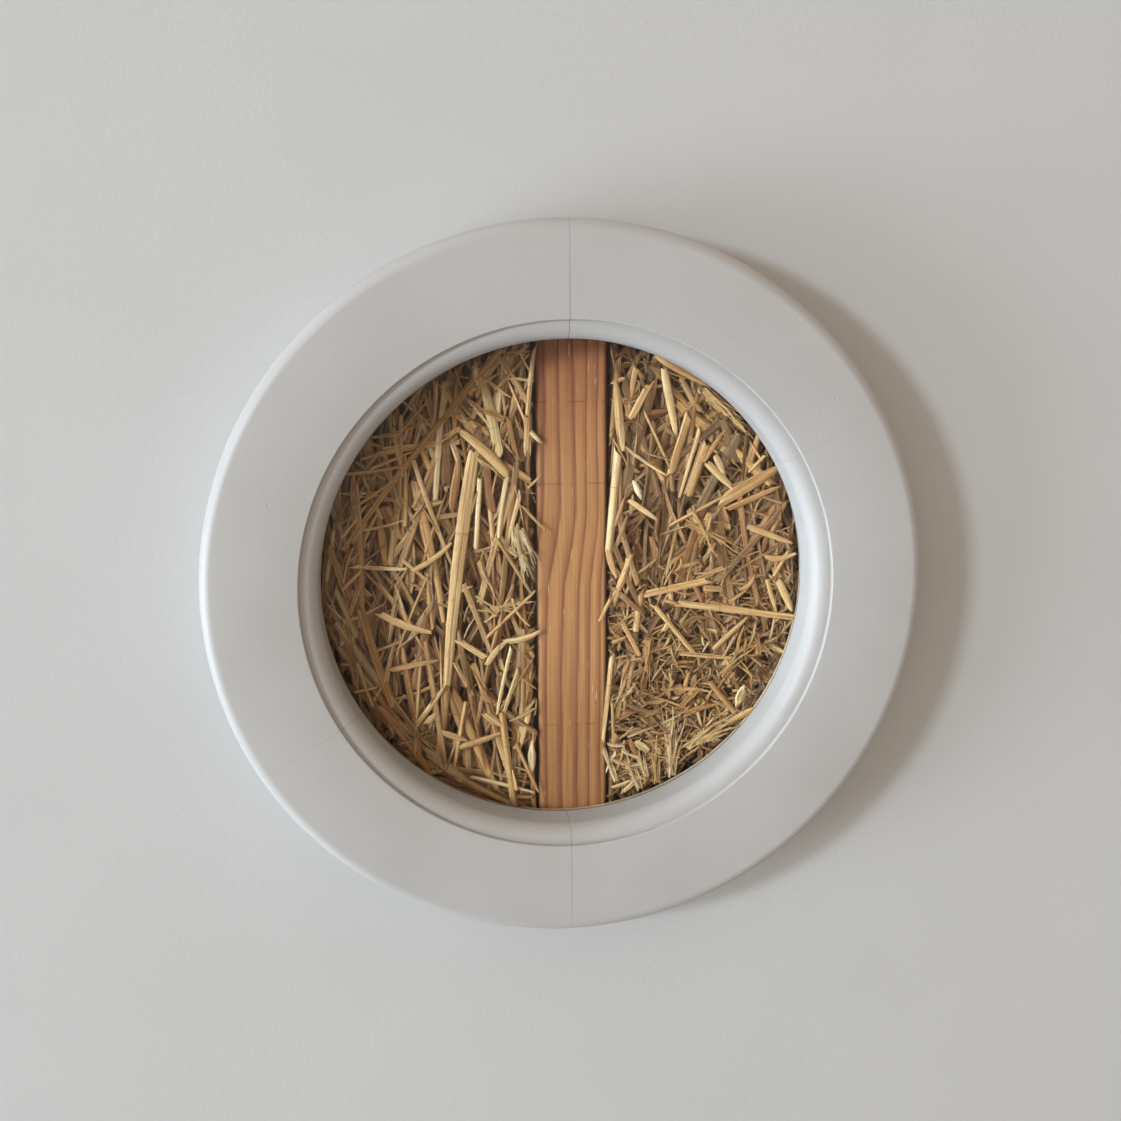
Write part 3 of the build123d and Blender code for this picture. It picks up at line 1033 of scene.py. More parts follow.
def growStrip(name, flat, wall, rings):
    # half a tube, pressed flatter, tapered along its length and given a wall
    strip = addPrimitive(bpy.ops.mesh.primitive_circle_add, "grown_" + name, vertices=12, radius=0.5,
                         fill_type="NOTHING")
    startEdit(strip)
    pick(strip, "VERT", lambda spot: spot.y > 0.05)
    bpy.ops.mesh.delete(type="VERT")
    bpy.ops.mesh.select_all(action="SELECT")
    drawUp(rings, 1.0, bpy.ops.mesh.extrude_edges_move)
    flatten(strip, flat)
    applyModifier(strip, "SOLIDIFY", thickness=wall, offset=0.0)
    return strip


def growEar():
    # an ear: a rachis with overlapping scales that turn out left and right, each with its awn
    rachis = copyOf(grown["thin"])
    rachis.data.transform(Matrix.Diagonal(ear["rachis"]))
    parts = [rachis]
    for number in range(ear["spikelets"]):
        along = number / (ear["spikelets"] - 1)
        turn = math.radians(ear["turns"][number % len(ear["turns"])])
        out = math.radians(ear["spread"]) * (ear["spreadShare"][0] - ear["spreadShare"][1] * along)
        tilt = Matrix.Rotation(turn, 4, "Z") @ Matrix.Rotation(out, 4, "X")
        base = Matrix.Translation((0, 0, ear["from"] + ear["reach"] * along))
        for kind, wide, long, start in ear["parts"]:
            part = copyOf(grown[kind])
            size = Matrix.Diagonal((wide, wide, long, 1))
            part.data.transform(base @ tilt @ Matrix.Translation((0, 0, start)) @ size)
            parts.append(part)
    return joinAll(parts, "grown_ear")


def growTuft():
    # a torn head: fine strands that start together, wander and end unevenly
    chance = random.Random(tuft["seed"])
    parts = []
    while len(parts) < tuft["strands"]:
        strand = copyOf(grown["awn"])
        wide = chance.uniform(*tuft["strandWidth"])
        start, long = chance.uniform(0, tuft["unevenStart"]), chance.uniform(*tuft["strandLength"])
        lean = Matrix.Identity(4)
        lean[0][2] = chance.gauss(0, tuft["fan"])
        lean[1][2] = chance.gauss(0, tuft["fan"] * tuft["fanDeep"])
        root = Matrix.Translation((chance.gauss(0, tuft["root"]), chance.gauss(0, tuft["root"]), start))
        strand.data.transform(root @ lean @ Matrix.Diagonal((wide, wide, long * (1 - start), 1)))
        phase, sway = chance.uniform(0, 6.3), chance.gauss(0, tuft["sway"])
        for vert in strand.data.vertices:
            vert.co.x += sway * math.sin(phase + vert.co.z * tuft["waves"])
        parts.append(strand)
    return joinAll(parts, "grown_tuft")


def growAll():
    for name, shape in strawKinds.items():
        grown[name] = growStalk(name, **shape)
    for name, shape in stripKinds.items():
        grown[name] = growStrip(name, **shape)
    grown["ear"] = growEar()
    grown["tuft"] = growTuft()
    for obj in grown.values():
        smoothByAngle(obj, kindSmooth)
        obj.hide_render = True


growAll()
thickness = {name: shape["flat"] for name, shape in {**strawKinds, **stripKinds}.items()}
thickness["ear"] = ear["thickness"]
thickness["tuft"] = tuft["thickness"]
print("straw kinds grown:", len(grown))


hole = {
    "stud": {-1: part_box("stud")[0].x, 1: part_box("stud")[1].x},
    "glassBack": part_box("glass_pane")[1].y + 0.35 * mm,
    "openRadius": 150.5 * mm,  # in front of the bead's back
    "deepRadius": 170.5 * mm,  # behind the ring, inside the lining hoop
    "deepFrom": 1.0 * mm,
    "back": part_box("lining_hoop")[1].y - 0.3 * mm,
    "studGap": 0.25 * mm,
}
laying = {
    "seed": 11,
    "slant": 0.9,  # of the cut ends
    "torn": 0.7,  # how uneven they are
    "endShare": 0.02,  # share of the length that counts as an end
    "spread": {"tone": 0.13, "roll": 0.5, "twist": 0.7, "notableRoll": 0.12},
    "flips": (1, 1, -1),
    "rimFan": 3,  # times less fan along the rim
    "room": 2.2,  # widths that an end keeps from the edge
    "shorten": 0.9,  # a stalk that doesn't fit, again and again
    "shortest": 2 * mm,
    "stripWidth": 1.3,  # of a strip's widest ring
    "tones": (0.02, 0.86),
    "notableGrey": 0.15,
    "patternShift": 50,
}
dice = random.Random(laying["seed"])


def layStalk(kind, start, end, width, fronts, tone, grey, bow=0.0, roll=0.0, twist=0.0, flip=1):
    # copies one kind between two spots (x, z); fronts are the depths of the copy's nearest side at its ends
    mesh = grown[kind].data.copy()
    count = len(mesh.vertices)
    local = np.empty(count * 3, np.float32)
    mesh.vertices.foreach_get("co", local)
    local = local.reshape(-1, 3).astype(float)
    at = local[:, 2].copy()  # 0 at one end of the stalk, 1 at the other
    half = thickness[kind] * width / 2
    first = Vector((start[0], fronts[0] + half, start[1]))
    last = Vector((end[0], fronts[1] + half, end[1]))
    along = last - first
    length = along.length
    along.normalize()
    side = Vector((0, 1, 0)).cross(along).normalized()
    deep = along.cross(side)
    turn = roll + twist * (at - 0.5)
    wide, thick = local[:, 0] * width, local[:, 1] * width * flip
    x = wide * np.cos(turn) - thick * np.sin(turn) + bow * length * (1 - (2 * at - 1) ** 2)
    y = wide * np.sin(turn) + thick * np.cos(turn)
    foot, tip = at < laying["endShare"], at > 1 - laying["endShare"]
    cutBack = foot * dice.gauss(0, laying["slant"]) + tip * dice.gauss(0, laying["slant"])
    torn = np.random.default_rng(dice.randrange(10 ** 6)).uniform(-0.5, 0.5, count) * (foot | tip)
    if kind in ("ear", "tuft"):
        reach = at * length
    else:
        reach = at * length + (cutBack * local[:, 0] + torn * laying["torn"]) * width
    spots = np.array(first)
    for part, way in ((reach, along), (x, side), (y, deep)):
        spots = spots + part[:, None] * np.array(way)
    mesh.vertices.foreach_set("co", spots.astype(np.float32).ravel())
    if flip < 0:
        mesh.flip_normals()
    seed = dice.random() * laying["patternShift"]
    pattern = np.stack([local[:, 0] * width, local[:, 1] * width, at * length], 1) + seed
    look = np.tile((tone, grey, 0.0), (count, 1))
    look[:, 2] = at
    for name, values in (("grownPlace", pattern), ("finish", look)):
        layer = mesh.attributes.new(name, "FLOAT_VECTOR", "POINT")
        layer.data.foreach_set("vector", values.astype(np.float32).ravel())
    stalk = bpy.data.objects.new(kind, mesh)
    bpy.context.scene.collection.objects.link(stalk)
    return stalk


def inHole(spot, front, width, side):
    # whether a stalk's end stays in the round hole, and beside the stud or in front of it
    limit = hole["openRadius"] if front < hole["deepFrom"] else hole["deepRadius"]
    if math.hypot(*spot) + width / 2 > limit:
        return False
    return side * (spot[0] - hole["stud"][side]) > hole["studGap"] + width / 2


def clamp(value, low, high):
    return min(max(value, low), high)


def scatter(side, zone):
    # random stalks of one zone, each shortened until both of its ends fit
    stalks = []
    spread = laying["spread"]
    kinds, weights = zip(*zone["kinds"].items())
    while len(stalks) < zone["count"]:
        x, z = dice.uniform(*zone["x"]), dice.uniform(*zone["z"])
        kind = dice.choices(kinds, weights)[0]
        width = dice.uniform(*(part * mm for part in zone["width"])) * kindWidth[kind]
        front = dice.uniform(*(part * mm for part in zone["front"]))
        if not inHole((x, z), front, width + 2 * mm, side):
            continue
        lean = dice.gauss(zone["lean"], zone["fan"])
        radius = math.hypot(x, z)
        if "rim" in zone and radius > zone["rim"][0] and z < zone["rim"][1]:
            lean = math.degrees(math.atan2(z, x)) + 90 + dice.gauss(0, zone["fan"] / laying["rimFan"])
        reach = dice.uniform(*zone["length"]) / 2
        direction = (math.cos(math.radians(lean)), math.sin(math.radians(lean)))
        ends = []
        for way in (-1, 1):
            far = reach
            end = (x + way * far * direction[0], z + way * far * direction[1])
            while far > laying["shortest"] and not inHole(end, front, width * laying["room"], side):
                far *= laying["shorten"]
                end = (x + way * far * direction[0], z + way * far * direction[1])
            ends.append(end)
        dive = dice.uniform(-1, 1) * (zone["dive"] * mm)
        fronts = [max(front + way * dive, hole["glassBack"]) for way in (-1, 1)]
        # painted light: stalks near the left rim get a higher tone that lifts the ring's shadow there
        outer = clamp((radius - paintedRimLight["from"]) / (paintedRimLight["to"] - paintedRimLight["from"]), 0.0, 1.0)
        paintedLight = paintedRimLight["tone"] * outer if side == paintedRimLight["side"] else 0.0
        tone = clamp(dice.gauss(zone["tone"], spread["tone"]) + paintedLight, *laying["tones"])
        grey = dice.uniform(0.0, zone["grey"])
        stalks.append(layStalk(kind, *ends, width, fronts, tone, grey, bow=dice.gauss(0, zone["bow"]),
                               roll=dice.gauss(0, spread["roll"]), twist=dice.gauss(0, spread["twist"]),
                               flip=dice.choice(laying["flips"])))
    return stalks


kindWidth = {"culm": 1.0, "plainCulm": 1.0, "crushed": 1.4, "thin": 0.6, "sliver": 0.34, "awn": 0.2,
             "split": 1.05, "sheath": 1.9, "leaf": 1.05, "scale": 0.5, "tuft": 1.9}
# zones of straw: x, z and length in metres; width, front (a stalk's nearest side) and dive in mm;
# lean and fan in degrees; kinds with their weights; rim: a radius and the height below which stalks follow it
strawLayers = {
    "beside": {"count": 46, "z": (-0.165, 0.165), "width": (2.2, 4.4), "front": (1.5, 13),
               "length": (0.05, 0.14), "lean": 90, "fan": 2.5, "dive": 1, "grey": 0.5, "bow": 0.002,
               "kinds": {"plainCulm": 4, "crushed": 3, "split": 3, "thin": 2}},
    "deep": {"z": (-0.168, 0.168), "width": (3.6, 6.0), "front": (9, 15), "dive": 2, "grey": 0.4,
             "bow": 0.008, "kinds": {"culm": 3, "plainCulm": 4, "crushed": 4, "split": 3, "sheath": 1}},
    "middle": {"z": (-0.168, 0.168), "front": (2.5, 8), "dive": 1.5, "grey": 0.6, "bow": 0.010,
               "kinds": {"culm": 2, "plainCulm": 4, "crushed": 5, "split": 4, "leaf": 3, "thin": 2}},
    "back": {"count": 220, "z": (-0.168, 0.168), "width": (3.4, 5.6), "front": (30, 34),
             "length": (0.05, 0.14), "lean": 88, "fan": 34, "dive": 0.5, "tone": 0.5, "grey": 0.6,
             "bow": 0.015, "kinds": {"culm": 3, "plainCulm": 4, "crushed": 3, "split": 2, "leaf": 1}},
    "top": {"front": (-3.0, 2.0), "dive": 0.8, "grey": 0.7, "bow": 0.012},
    "bits": {"width": (1.6, 3.6), "front": (-3.3, 3.0), "lean": 80, "dive": 0.8, "grey": 0.9, "bow": 0.03},
    "chopped": {"width": (1.5, 3.4), "front": (-3.2, 3.5), "dive": 1.0, "grey": 0.85, "bow": 0.06},
}
# tones fall from the top zones to the deep ones: painted shade in the depth of the pack
strawSides = {
    -1: {
        "beside": {"x": (-0.0235, -0.0175), "tone": 0.26},
        "deep": {"count": 200, "x": (-0.168, -0.018), "length": (0.06, 0.15), "lean": 90, "fan": 20,
                 "tone": 0.15, "rim": (0.12, -0.03)},
        "middle": {"count": 270, "x": (-0.168, -0.018), "width": (2.8, 5.4), "length": (0.04, 0.13),
                   "lean": 91, "fan": 17, "tone": 0.33, "rim": (0.125, -0.04)},
        "back": {"x": (-0.168, hole["stud"][-1])},
        "top": {"count": 190, "x": (-0.15, -0.018), "z": (-0.15, 0.15), "width": (2.2, 4.8),
                "length": (0.025, 0.095), "lean": 91, "fan": 22, "tone": 0.42, "rim": (0.13, -0.05),
                "kinds": {"plainCulm": 3, "crushed": 4, "split": 4, "leaf": 4, "thin": 4, "sliver": 3,
                          "tuft": 1}},
        "bits": {"count": 300, "x": (-0.15, -0.018), "z": (-0.15, 0.15), "length": (0.006, 0.030), "fan": 50,
                 "tone": 0.47, "kinds": {"thin": 3, "sliver": 5, "leaf": 3, "scale": 1, "awn": 4, "tuft": 1}},
    },
    1: {
        "beside": {"x": (0.0287, 0.0345), "tone": 0.28},
        "deep": {"count": 190, "x": (0.029, 0.168), "length": (0.05, 0.13), "lean": 80, "fan": 35,
                 "tone": 0.17},
        "middle": {"count": 250, "x": (0.029, 0.168), "width": (2.6, 5.2), "length": (0.03, 0.10), "lean": 78,
                   "fan": 36, "tone": 0.36},
        "back": {"x": (hole["stud"][1], 0.168)},
        "top": {"count": 150, "x": (0.029, 0.15), "z": (-0.01, 0.15), "width": (2.2, 5.0),
                "length": (0.02, 0.075), "lean": 85, "fan": 38, "tone": 0.32,
                "kinds": {"plainCulm": 3, "crushed": 5, "split": 4, "leaf": 4, "thin": 3, "sliver": 3,
                          "tuft": 1}},
        "bits": {"count": 260, "x": (0.029, 0.15), "z": (0.0, 0.15), "length": (0.006, 0.028), "fan": 60,
                 "tone": 0.41, "kinds": {"thin": 3, "sliver": 5, "leaf": 3, "scale": 2, "awn": 4}},
        "chopped": {"count": 1200, "x": (0.029, 0.15), "z": (-0.15, 0.012), "length": (0.005, 0.024),
                    "lean": 20, "fan": 70, "tone": 0.53,
                    "kinds": {"thin": 4, "sliver": 8, "leaf": 2, "scale": 1, "awn": 4, "split": 1,
                              "crushed": 1, "tuft": 1}},
    },
}
paintedRimLight = {"side": -1, "tone": 0.30, "from": 0.100, "to": 0.140}  # painted light: the left side's straw is paler at its rim, where the ring's shadow falls
levelDepth = (-3.4 * mm, -1.4 * mm, 1.2 * mm, 4.5 * mm)  # against the glass, then further in

# stalks that stand out in the photograph: kind, both ends in its pixels, width in mm, level, tone, and the
# bow of those that bend
notable = {
    -1: [
        ("thin", 502, 348, 342, 552, 5, 0, 0.52, 0.012), ("crushed", 448, 372, 450, 397, 5, 2, 0.4),
        ("leaf", 459, 442, 361, 459, 4.4, 1, 0.62, 0.03), ("thin", 347, 474, 402, 466, 2.6, 0, 0.6, 0.02),
        ("sheath", 474, 451, 447, 684, 8.6, 0, 0.74, 0.012),
        ("plainCulm", 446, 682, 437, 762, 5.4, 1, 0.58, -0.02), ("sheath", 414, 480, 441, 600, 7, 1, 0.52),
        ("crushed", 424, 478, 456, 541, 6.2, 2, 0.5, 0.02), ("thin", 413, 459, 451, 563, 3.2, 0, 0.74, 0.01),
        ("leaf", 421, 448, 441, 489, 4, 1, 0.52, 0.03), ("leaf", 449, 436, 463, 480, 3.6, 1, 0.7, -0.03),
        ("sheath", 443, 447, 450, 494, 5.4, 3, 0.3), ("crushed", 398, 412, 387, 450, 7.4, 2, 0.38),
        ("split", 517, 385, 508, 434, 4.6, 1, 0.56), ("thin", 534, 350, 525, 455, 3.2, 0, 0.7, 0.012),
        ("split", 480, 478, 476, 548, 4.2, 0, 0.86), ("plainCulm", 487, 462, 494, 550, 3.8, 1, 0.66),
        ("split", 507, 478, 499, 537, 4.2, 0, 0.84, 0.02), ("thin", 520, 494, 508, 540, 3.4, 0, 0.78),
        ("tuft", 515, 523, 530, 580, 15, 0, 0.86, 0.03), ("tuft", 520, 528, 538, 566, 12, 0, 0.95),
        ("ear", 517, 526, 527, 574, 30, 0, 0.92), ("thin", 496, 537, 532, 595, 2.8, 0, 0.62),
        ("ear", 442, 408, 492, 434, 28, 0, 0.52), ("tuft", 470, 452, 509, 480, 7, 0, 0.74),
        ("tuft", 478, 560, 505, 606, 9, 0, 0.7, 0.03), ("tuft", 490, 608, 526, 600, 8, 0, 0.66),
        ("tuft", 497, 616, 480, 604, 7, 0, 0.72), ("tuft", 462, 428, 430, 452, 9, 0, 0.52),
        ("tuft", 505, 422, 462, 402, 12, 0, 0.46), ("leaf", 508, 475, 459, 430, 6.4, 0, 0.66, 0.03),
        ("thin", 353, 566, 405, 569, 3, 0, 0.8, 0.01), ("leaf", 413, 570, 451, 543, 3.4, 0, 0.62, 0.06),
        ("culm", 384, 505, 400, 540, 8.6, 1, 0.44), ("split", 353, 476, 358, 514, 4.6, 1, 0.58),
        ("crushed", 329, 546, 348, 598, 4.4, 1, 0.48), ("leaf", 409, 483, 408, 565, 3.8, 2, 0.56),
        ("thin", 353, 562, 377, 514, 3.4, 1, 0.6), ("crushed", 361, 609, 393, 706, 5.6, 0, 0.5, 0.015),
        ("plainCulm", 339, 648, 428, 772, 5, 1, 0.46, -0.03),
        ("plainCulm", 352, 664, 420, 764, 4.6, 2, 0.42, -0.03),
        ("leaf", 379, 706, 425, 768, 4.6, 1, 0.54, -0.02), ("split", 363, 577, 341, 637, 5, 1, 0.58),
        ("leaf", 380, 613, 430, 632, 5, 0, 0.7, 0.05), ("leaf", 388, 670, 437, 660, 3.6, 0, 0.58),
        ("thin", 396, 699, 438, 683, 3, 1, 0.56, 0.04), ("thin", 414, 729, 444, 688, 3.8, 0, 0.74),
        ("sheath", 453, 697, 495, 790, 10.5, 2, 0.46), ("sheath", 463, 716, 497, 790, 5.8, 1, 0.5),
        ("thin", 466, 701, 454, 769, 3.2, 0, 0.62), ("leaf", 459, 747, 500, 733, 4.6, 0, 0.64, 0.02),
        ("leaf", 443, 767, 513, 804, 4.4, 1, 0.62, 0.02), ("crushed", 473, 663, 493, 716, 3.8, 1, 0.62),
        ("leaf", 485, 713, 504, 726, 5, 0, 0.72, 0.03), ("plainCulm", 502, 714, 514, 806, 4.6, 0, 0.62),
        ("culm", 523, 641, 522, 735, 4.6, 1, 0.68), ("plainCulm", 530, 648, 529, 721, 4, 2, 0.54),
        ("thin", 511, 649, 497, 714, 2.8, 0, 0.84, 0.01), ("thin", 518, 670, 502, 718, 3, 0, 0.78),
        ("crushed", 458, 640, 485, 657, 4.4, 0, 0.76), ("thin", 463, 583, 492, 655, 3.8, 0, 0.64),
        ("leaf", 487, 664, 508, 640, 3.8, 0, 0.78, -0.06), ("leaf", 506, 641, 541, 630, 3.8, 0, 0.76, 0.08),
        ("thin", 487, 637, 535, 591, 2.8, 0, 0.66), ("thin", 516, 744, 538, 791, 2.8, 0, 0.6),
        ("leaf", 529, 711, 520, 748, 3.4, 1, 0.7), ("scale", 531, 772, 532, 741, 3.4, 1, 0.86),
        ("thin", 454, 661, 467, 686, 3, 0, 0.6), ("awn", 381, 452, 352, 492, 2.4, 0, 0.62, 0.04),
        ("awn", 369, 470, 412, 452, 2.2, 0, 0.66), ("awn", 352, 508, 396, 478, 2.4, 0, 0.6, 0.02),
        ("awn", 364, 530, 404, 520, 2.2, 0, 0.7, 0.03), ("awn", 342, 590, 372, 560, 2.4, 0, 0.66),
        ("awn", 350, 620, 384, 604, 2.2, 0, 0.64, 0.03), ("awn", 372, 652, 404, 640, 2.4, 0, 0.62),
        ("awn", 402, 560, 432, 584, 2.4, 0, 0.7), ("awn", 404, 612, 424, 650, 2.2, 0, 0.66, 0.02),
        ("awn", 470, 586, 446, 604, 2.4, 0, 0.72, 0.05), ("awn", 476, 596, 514, 612, 2, 0, 0.74, 0.08),
        ("awn", 484, 622, 510, 596, 2, 0, 0.7, 0.05), ("awn", 478, 610, 520, 606, 2, 0, 0.66, 0.06),
        ("awn", 512, 598, 530, 626, 2, 0, 0.64, 0.1), ("awn", 424, 384, 402, 418, 2.4, 0, 0.6, 0.03),
        ("awn", 396, 440, 430, 398, 2.4, 0, 0.58), ("awn", 486, 378, 512, 398, 2.2, 0, 0.62, 0.05),
        ("awn", 474, 390, 500, 372, 2.2, 0, 0.6), ("split", 427, 572, 432, 628, 4.2, 1, 0.58),
        ("split", 436, 576, 444, 623, 4.4, 1, 0.62), ("sheath", 419, 638, 446, 676, 7, 2, 0.4),
        ("tuft", 392, 714, 440, 756, 14, 0, 0.6), ("thin", 523, 506, 545, 530, 2.2, 0, 0.66, 0.02),
        ("thin", 530, 431, 541, 443, 3.4, 0, 0.8), ("awn", 527, 488, 541, 474, 1.6, 0, 0.7, 0.03),
        ("plainCulm", 430, 404, 462, 366, 4, 2, 0.44), ("leaf", 476, 358, 468, 402, 5, 2, 0.42),
        ("split", 492, 362, 484, 416, 4.4, 2, 0.52), ("crushed", 501, 352, 496, 392, 5, 3, 0.4),
    ],
    1: [
        ("thin", 619, 357, 611, 435, 3.6, 1, 0.5), ("split", 636, 369, 622, 440, 5.6, 1, 0.62),
        ("crushed", 649, 384, 631, 418, 4.6, 0, 0.64), ("leaf", 664, 370, 676, 435, 5.2, 0, 0.78),
        ("plainCulm", 689, 416, 671, 474, 6, 0, 0.6), ("plainCulm", 671, 472, 665, 490, 5.2, 1, 0.62),
        ("thin", 699, 430, 679, 498, 3, 0, 0.74), ("plainCulm", 706, 445, 688, 495, 7, 0, 0.62),
        ("crushed", 675, 402, 735, 460, 5.4, 1, 0.54), ("split", 688, 410, 738, 448, 5.2, 1, 0.52),
        ("sheath", 721, 501, 778, 468, 8.2, 0, 0.56), ("leaf", 727, 509, 778, 487, 4, 0, 0.5),
        ("thin", 669, 526, 722, 497, 2.8, 0, 0.66), ("thin", 626, 448, 666, 475, 2.4, 0, 0.82, 0.02),
        ("plainCulm", 637, 438, 664, 480, 5, 1, 0.62), ("thin", 644, 411, 671, 471, 2, 0, 0.66),
        ("plainCulm", 618, 453, 609, 551, 5.4, 0, 0.84), ("leaf", 629, 500, 656, 519, 3.6, 0, 0.72),
        ("scale", 634, 481, 641, 499, 2.6, 0, 0.96), ("tuft", 690, 506, 722, 552, 18, 0, 0.66, 0.02),
        ("tuft", 712, 512, 704, 548, 15, 0, 0.72), ("tuft", 684, 520, 748, 552, 14, 0, 0.58),
        ("ear", 697, 386, 748, 431, 34, 0, 0.66), ("tuft", 703, 388, 744, 420, 13, 0, 0.66),
        ("leaf", 655, 354, 708, 385, 4.6, 1, 0.58, 0.03), ("thin", 765, 455, 748, 472, 2.4, 0, 0.7),
        ("split", 785, 501, 771, 533, 5, 1, 0.62), ("leaf", 747, 526, 792, 543, 4, 0, 0.66),
        ("leaf", 764, 556, 795, 553, 3.4, 0, 0.68, 0.12), ("crushed", 645, 594, 708, 580, 4.6, 0, 0.62),
        ("plainCulm", 631, 554, 614, 601, 4.2, 0, 0.66), ("leaf", 608, 550, 616, 576, 4, 0, 0.62, 0.04),
        ("split", 771, 575, 788, 602, 5, 1, 0.6), ("leaf", 707, 463, 732, 488, 5, 0, 0.76),
        ("leaf", 715, 455, 724, 474, 4.4, 0, 0.74), ("crushed", 678, 603, 795, 617, 4.2, 0, 0.66),
        ("leaf", 700, 600, 754, 611, 3.6, 1, 0.6), ("split", 653, 604, 693, 652, 4, 0, 0.66),
        ("thin", 680, 653, 732, 658, 3.4, 0, 0.66), ("leaf", 778, 580, 792, 611, 4.8, 0, 0.66),
        ("thin", 767, 580, 776, 612, 3.2, 0, 0.62), ("plainCulm", 641, 592, 636, 630, 4.4, 0, 0.66),
        ("crushed", 622, 622, 639, 654, 3.2, 0, 0.58), ("plainCulm", 624, 579, 612, 599, 3.8, 0, 0.62),
        ("thin", 611, 598, 599, 621, 2.8, 0, 0.66), ("plainCulm", 628, 657, 617, 718, 3.8, 1, 0.6),
        ("plainCulm", 634, 655, 627, 695, 3.6, 1, 0.58), ("thin", 612, 655, 603, 740, 3.6, 0, 0.74),
        ("thin", 612, 702, 613, 746, 2, 0, 0.7), ("crushed", 710, 682, 735, 713, 4, 0, 0.46),
        ("scale", 744, 687, 736, 706, 4.6, 0, 0.8), ("leaf", 728, 721, 757, 707, 4.8, 0, 0.64),
        ("tuft", 671, 778, 666, 706, 17, 0, 0.86), ("tuft", 668, 772, 679, 716, 14, 0, 0.8, 0.02),
        ("ear", 669, 776, 670, 718, 40, 0, 0.88), ("tuft", 684, 748, 733, 704, 17, 0, 0.78),
        ("tuft", 694, 742, 748, 716, 14, 0, 0.72), ("ear", 690, 744, 738, 716, 36, 0, 0.76),
        ("tuft", 640, 790, 618, 744, 14, 0, 0.8), ("tuft", 646, 778, 632, 740, 12, 0, 0.78),
        ("tuft", 616, 782, 602, 746, 9, 0, 0.86), ("leaf", 603, 748, 617, 778, 2.4, 0, 0.88, 0.03),
        ("awn", 616, 752, 606, 772, 2.2, 0, 0.88, 0.05), ("thin", 621, 750, 640, 757, 2.2, 0, 0.88, 0.05),
        ("thin", 626, 767, 645, 760, 2.4, 0, 0.86, 0.06), ("thin", 629, 773, 646, 779, 2.2, 0, 0.84),
        ("leaf", 612, 787, 630, 780, 2.4, 0, 0.82, 0.03), ("thin", 608, 744, 624, 745, 2.2, 0, 0.86, 0.05),
        ("tuft", 611, 758, 641, 768, 8, 0, 0.86, 0.02), ("tuft", 622, 791, 645, 768, 8, 0, 0.84),
        ("sliver", 634, 741, 650, 752, 3, 0, 0.84), ("tuft", 656, 784, 652, 736, 12, 0, 0.58),
        ("tuft", 650, 636, 646, 690, 14, 0, 0.5), ("tuft", 700, 688, 672, 716, 14, 0, 0.6),
        ("tuft", 718, 676, 752, 640, 14, 0, 0.62), ("leaf", 713, 649, 747, 617, 3.6, 0, 0.62),
        ("leaf", 706, 530, 668, 566, 4.4, 1, 0.56), ("crushed", 640, 505, 634, 560, 4.2, 2, 0.5),
        ("culm", 660, 500, 652, 566, 4.4, 2, 0.48), ("plainCulm", 748, 470, 760, 432, 4.2, 1, 0.58),
        ("split", 742, 482, 752, 446, 3.6, 1, 0.54),
    ],
}
strawFinish = {
    "tones": ((0.0, (0.10, 0.042, 0.015)), (0.28, (0.30, 0.128, 0.042)), (0.52, (0.56, 0.292, 0.103)),
              (0.76, (0.78, 0.505, 0.235)), (1.0, (0.92, 0.76, 0.49))),  # from dark to pale
    "fibres": ((1700, 1700, 26), 3.0, 0.6),
    "fibreTint": (0.8, (0.27, (0.55, 0.50, 0.44)), (0.73, (1.36, 1.34, 1.28))),
    "creases": ((760, 760, 11), 2.0, 0.5),
    "creaseTint": (0.8, (0.34, (0.50, 0.44, 0.38)), (0.50, (0.95, 0.93, 0.90)), (0.68, (1.18, 1.18, 1.15))),
    "patches": ((160, 160, 60), 2.0),
    "patchReach": (0.2, 0.8, -0.10, 0.10),
    "weathered": (0.38, 0.285, 0.175),
    "weatheredBlend": 0.55,
    "specks": ((900, 900, 420), 2.0),
    "speckReach": (0.66, 0.74, 0.0, 0.5),
    "dark": (0.13, 0.058, 0.020),  # specks and nodes
    "nodeAt": 0.349,  # share of a stalk's length
    "nodeReach": 0.012,
    "nodeBlend": 0.35,
    "turned": (0.25, 0.75),
    # painted shade on the sides of stalks that turn away from the front
    "paintedGapShade": (1.0, (0.0, (0.50, 0.43, 0.37)), (1.0, (1.0, 1.0, 1.0))),
    # painted shade: darker for stalks deep in the pack, full tone again for those at its back
    "paintedDepthShade": (1.0, (0.0, (1, 1, 1)), (0.24, (0.52, 0.46, 0.42)), (0.70, (0.52, 0.46, 0.42)),
                 (0.84, (1, 1, 1))),
    "roughness": (0.42, 0.64),
    "specular": 0.26,
    "creaseHeight": 2.0,
    "bump": (0.3 * mm, 0.8),
}
core = {
    "radius": 170.0 * mm,
    "depth": 10.0 * mm,
    "middle": 21.5 * mm,
    "voxel": 4.2 * mm,
    "rumple": 16.0 * mm,
    "rumpleHeight": 7.0 * mm,
    "rumpleMiddle": 0.55,
    "studGap": 0.3 * mm,
    "smooth": 60,
}


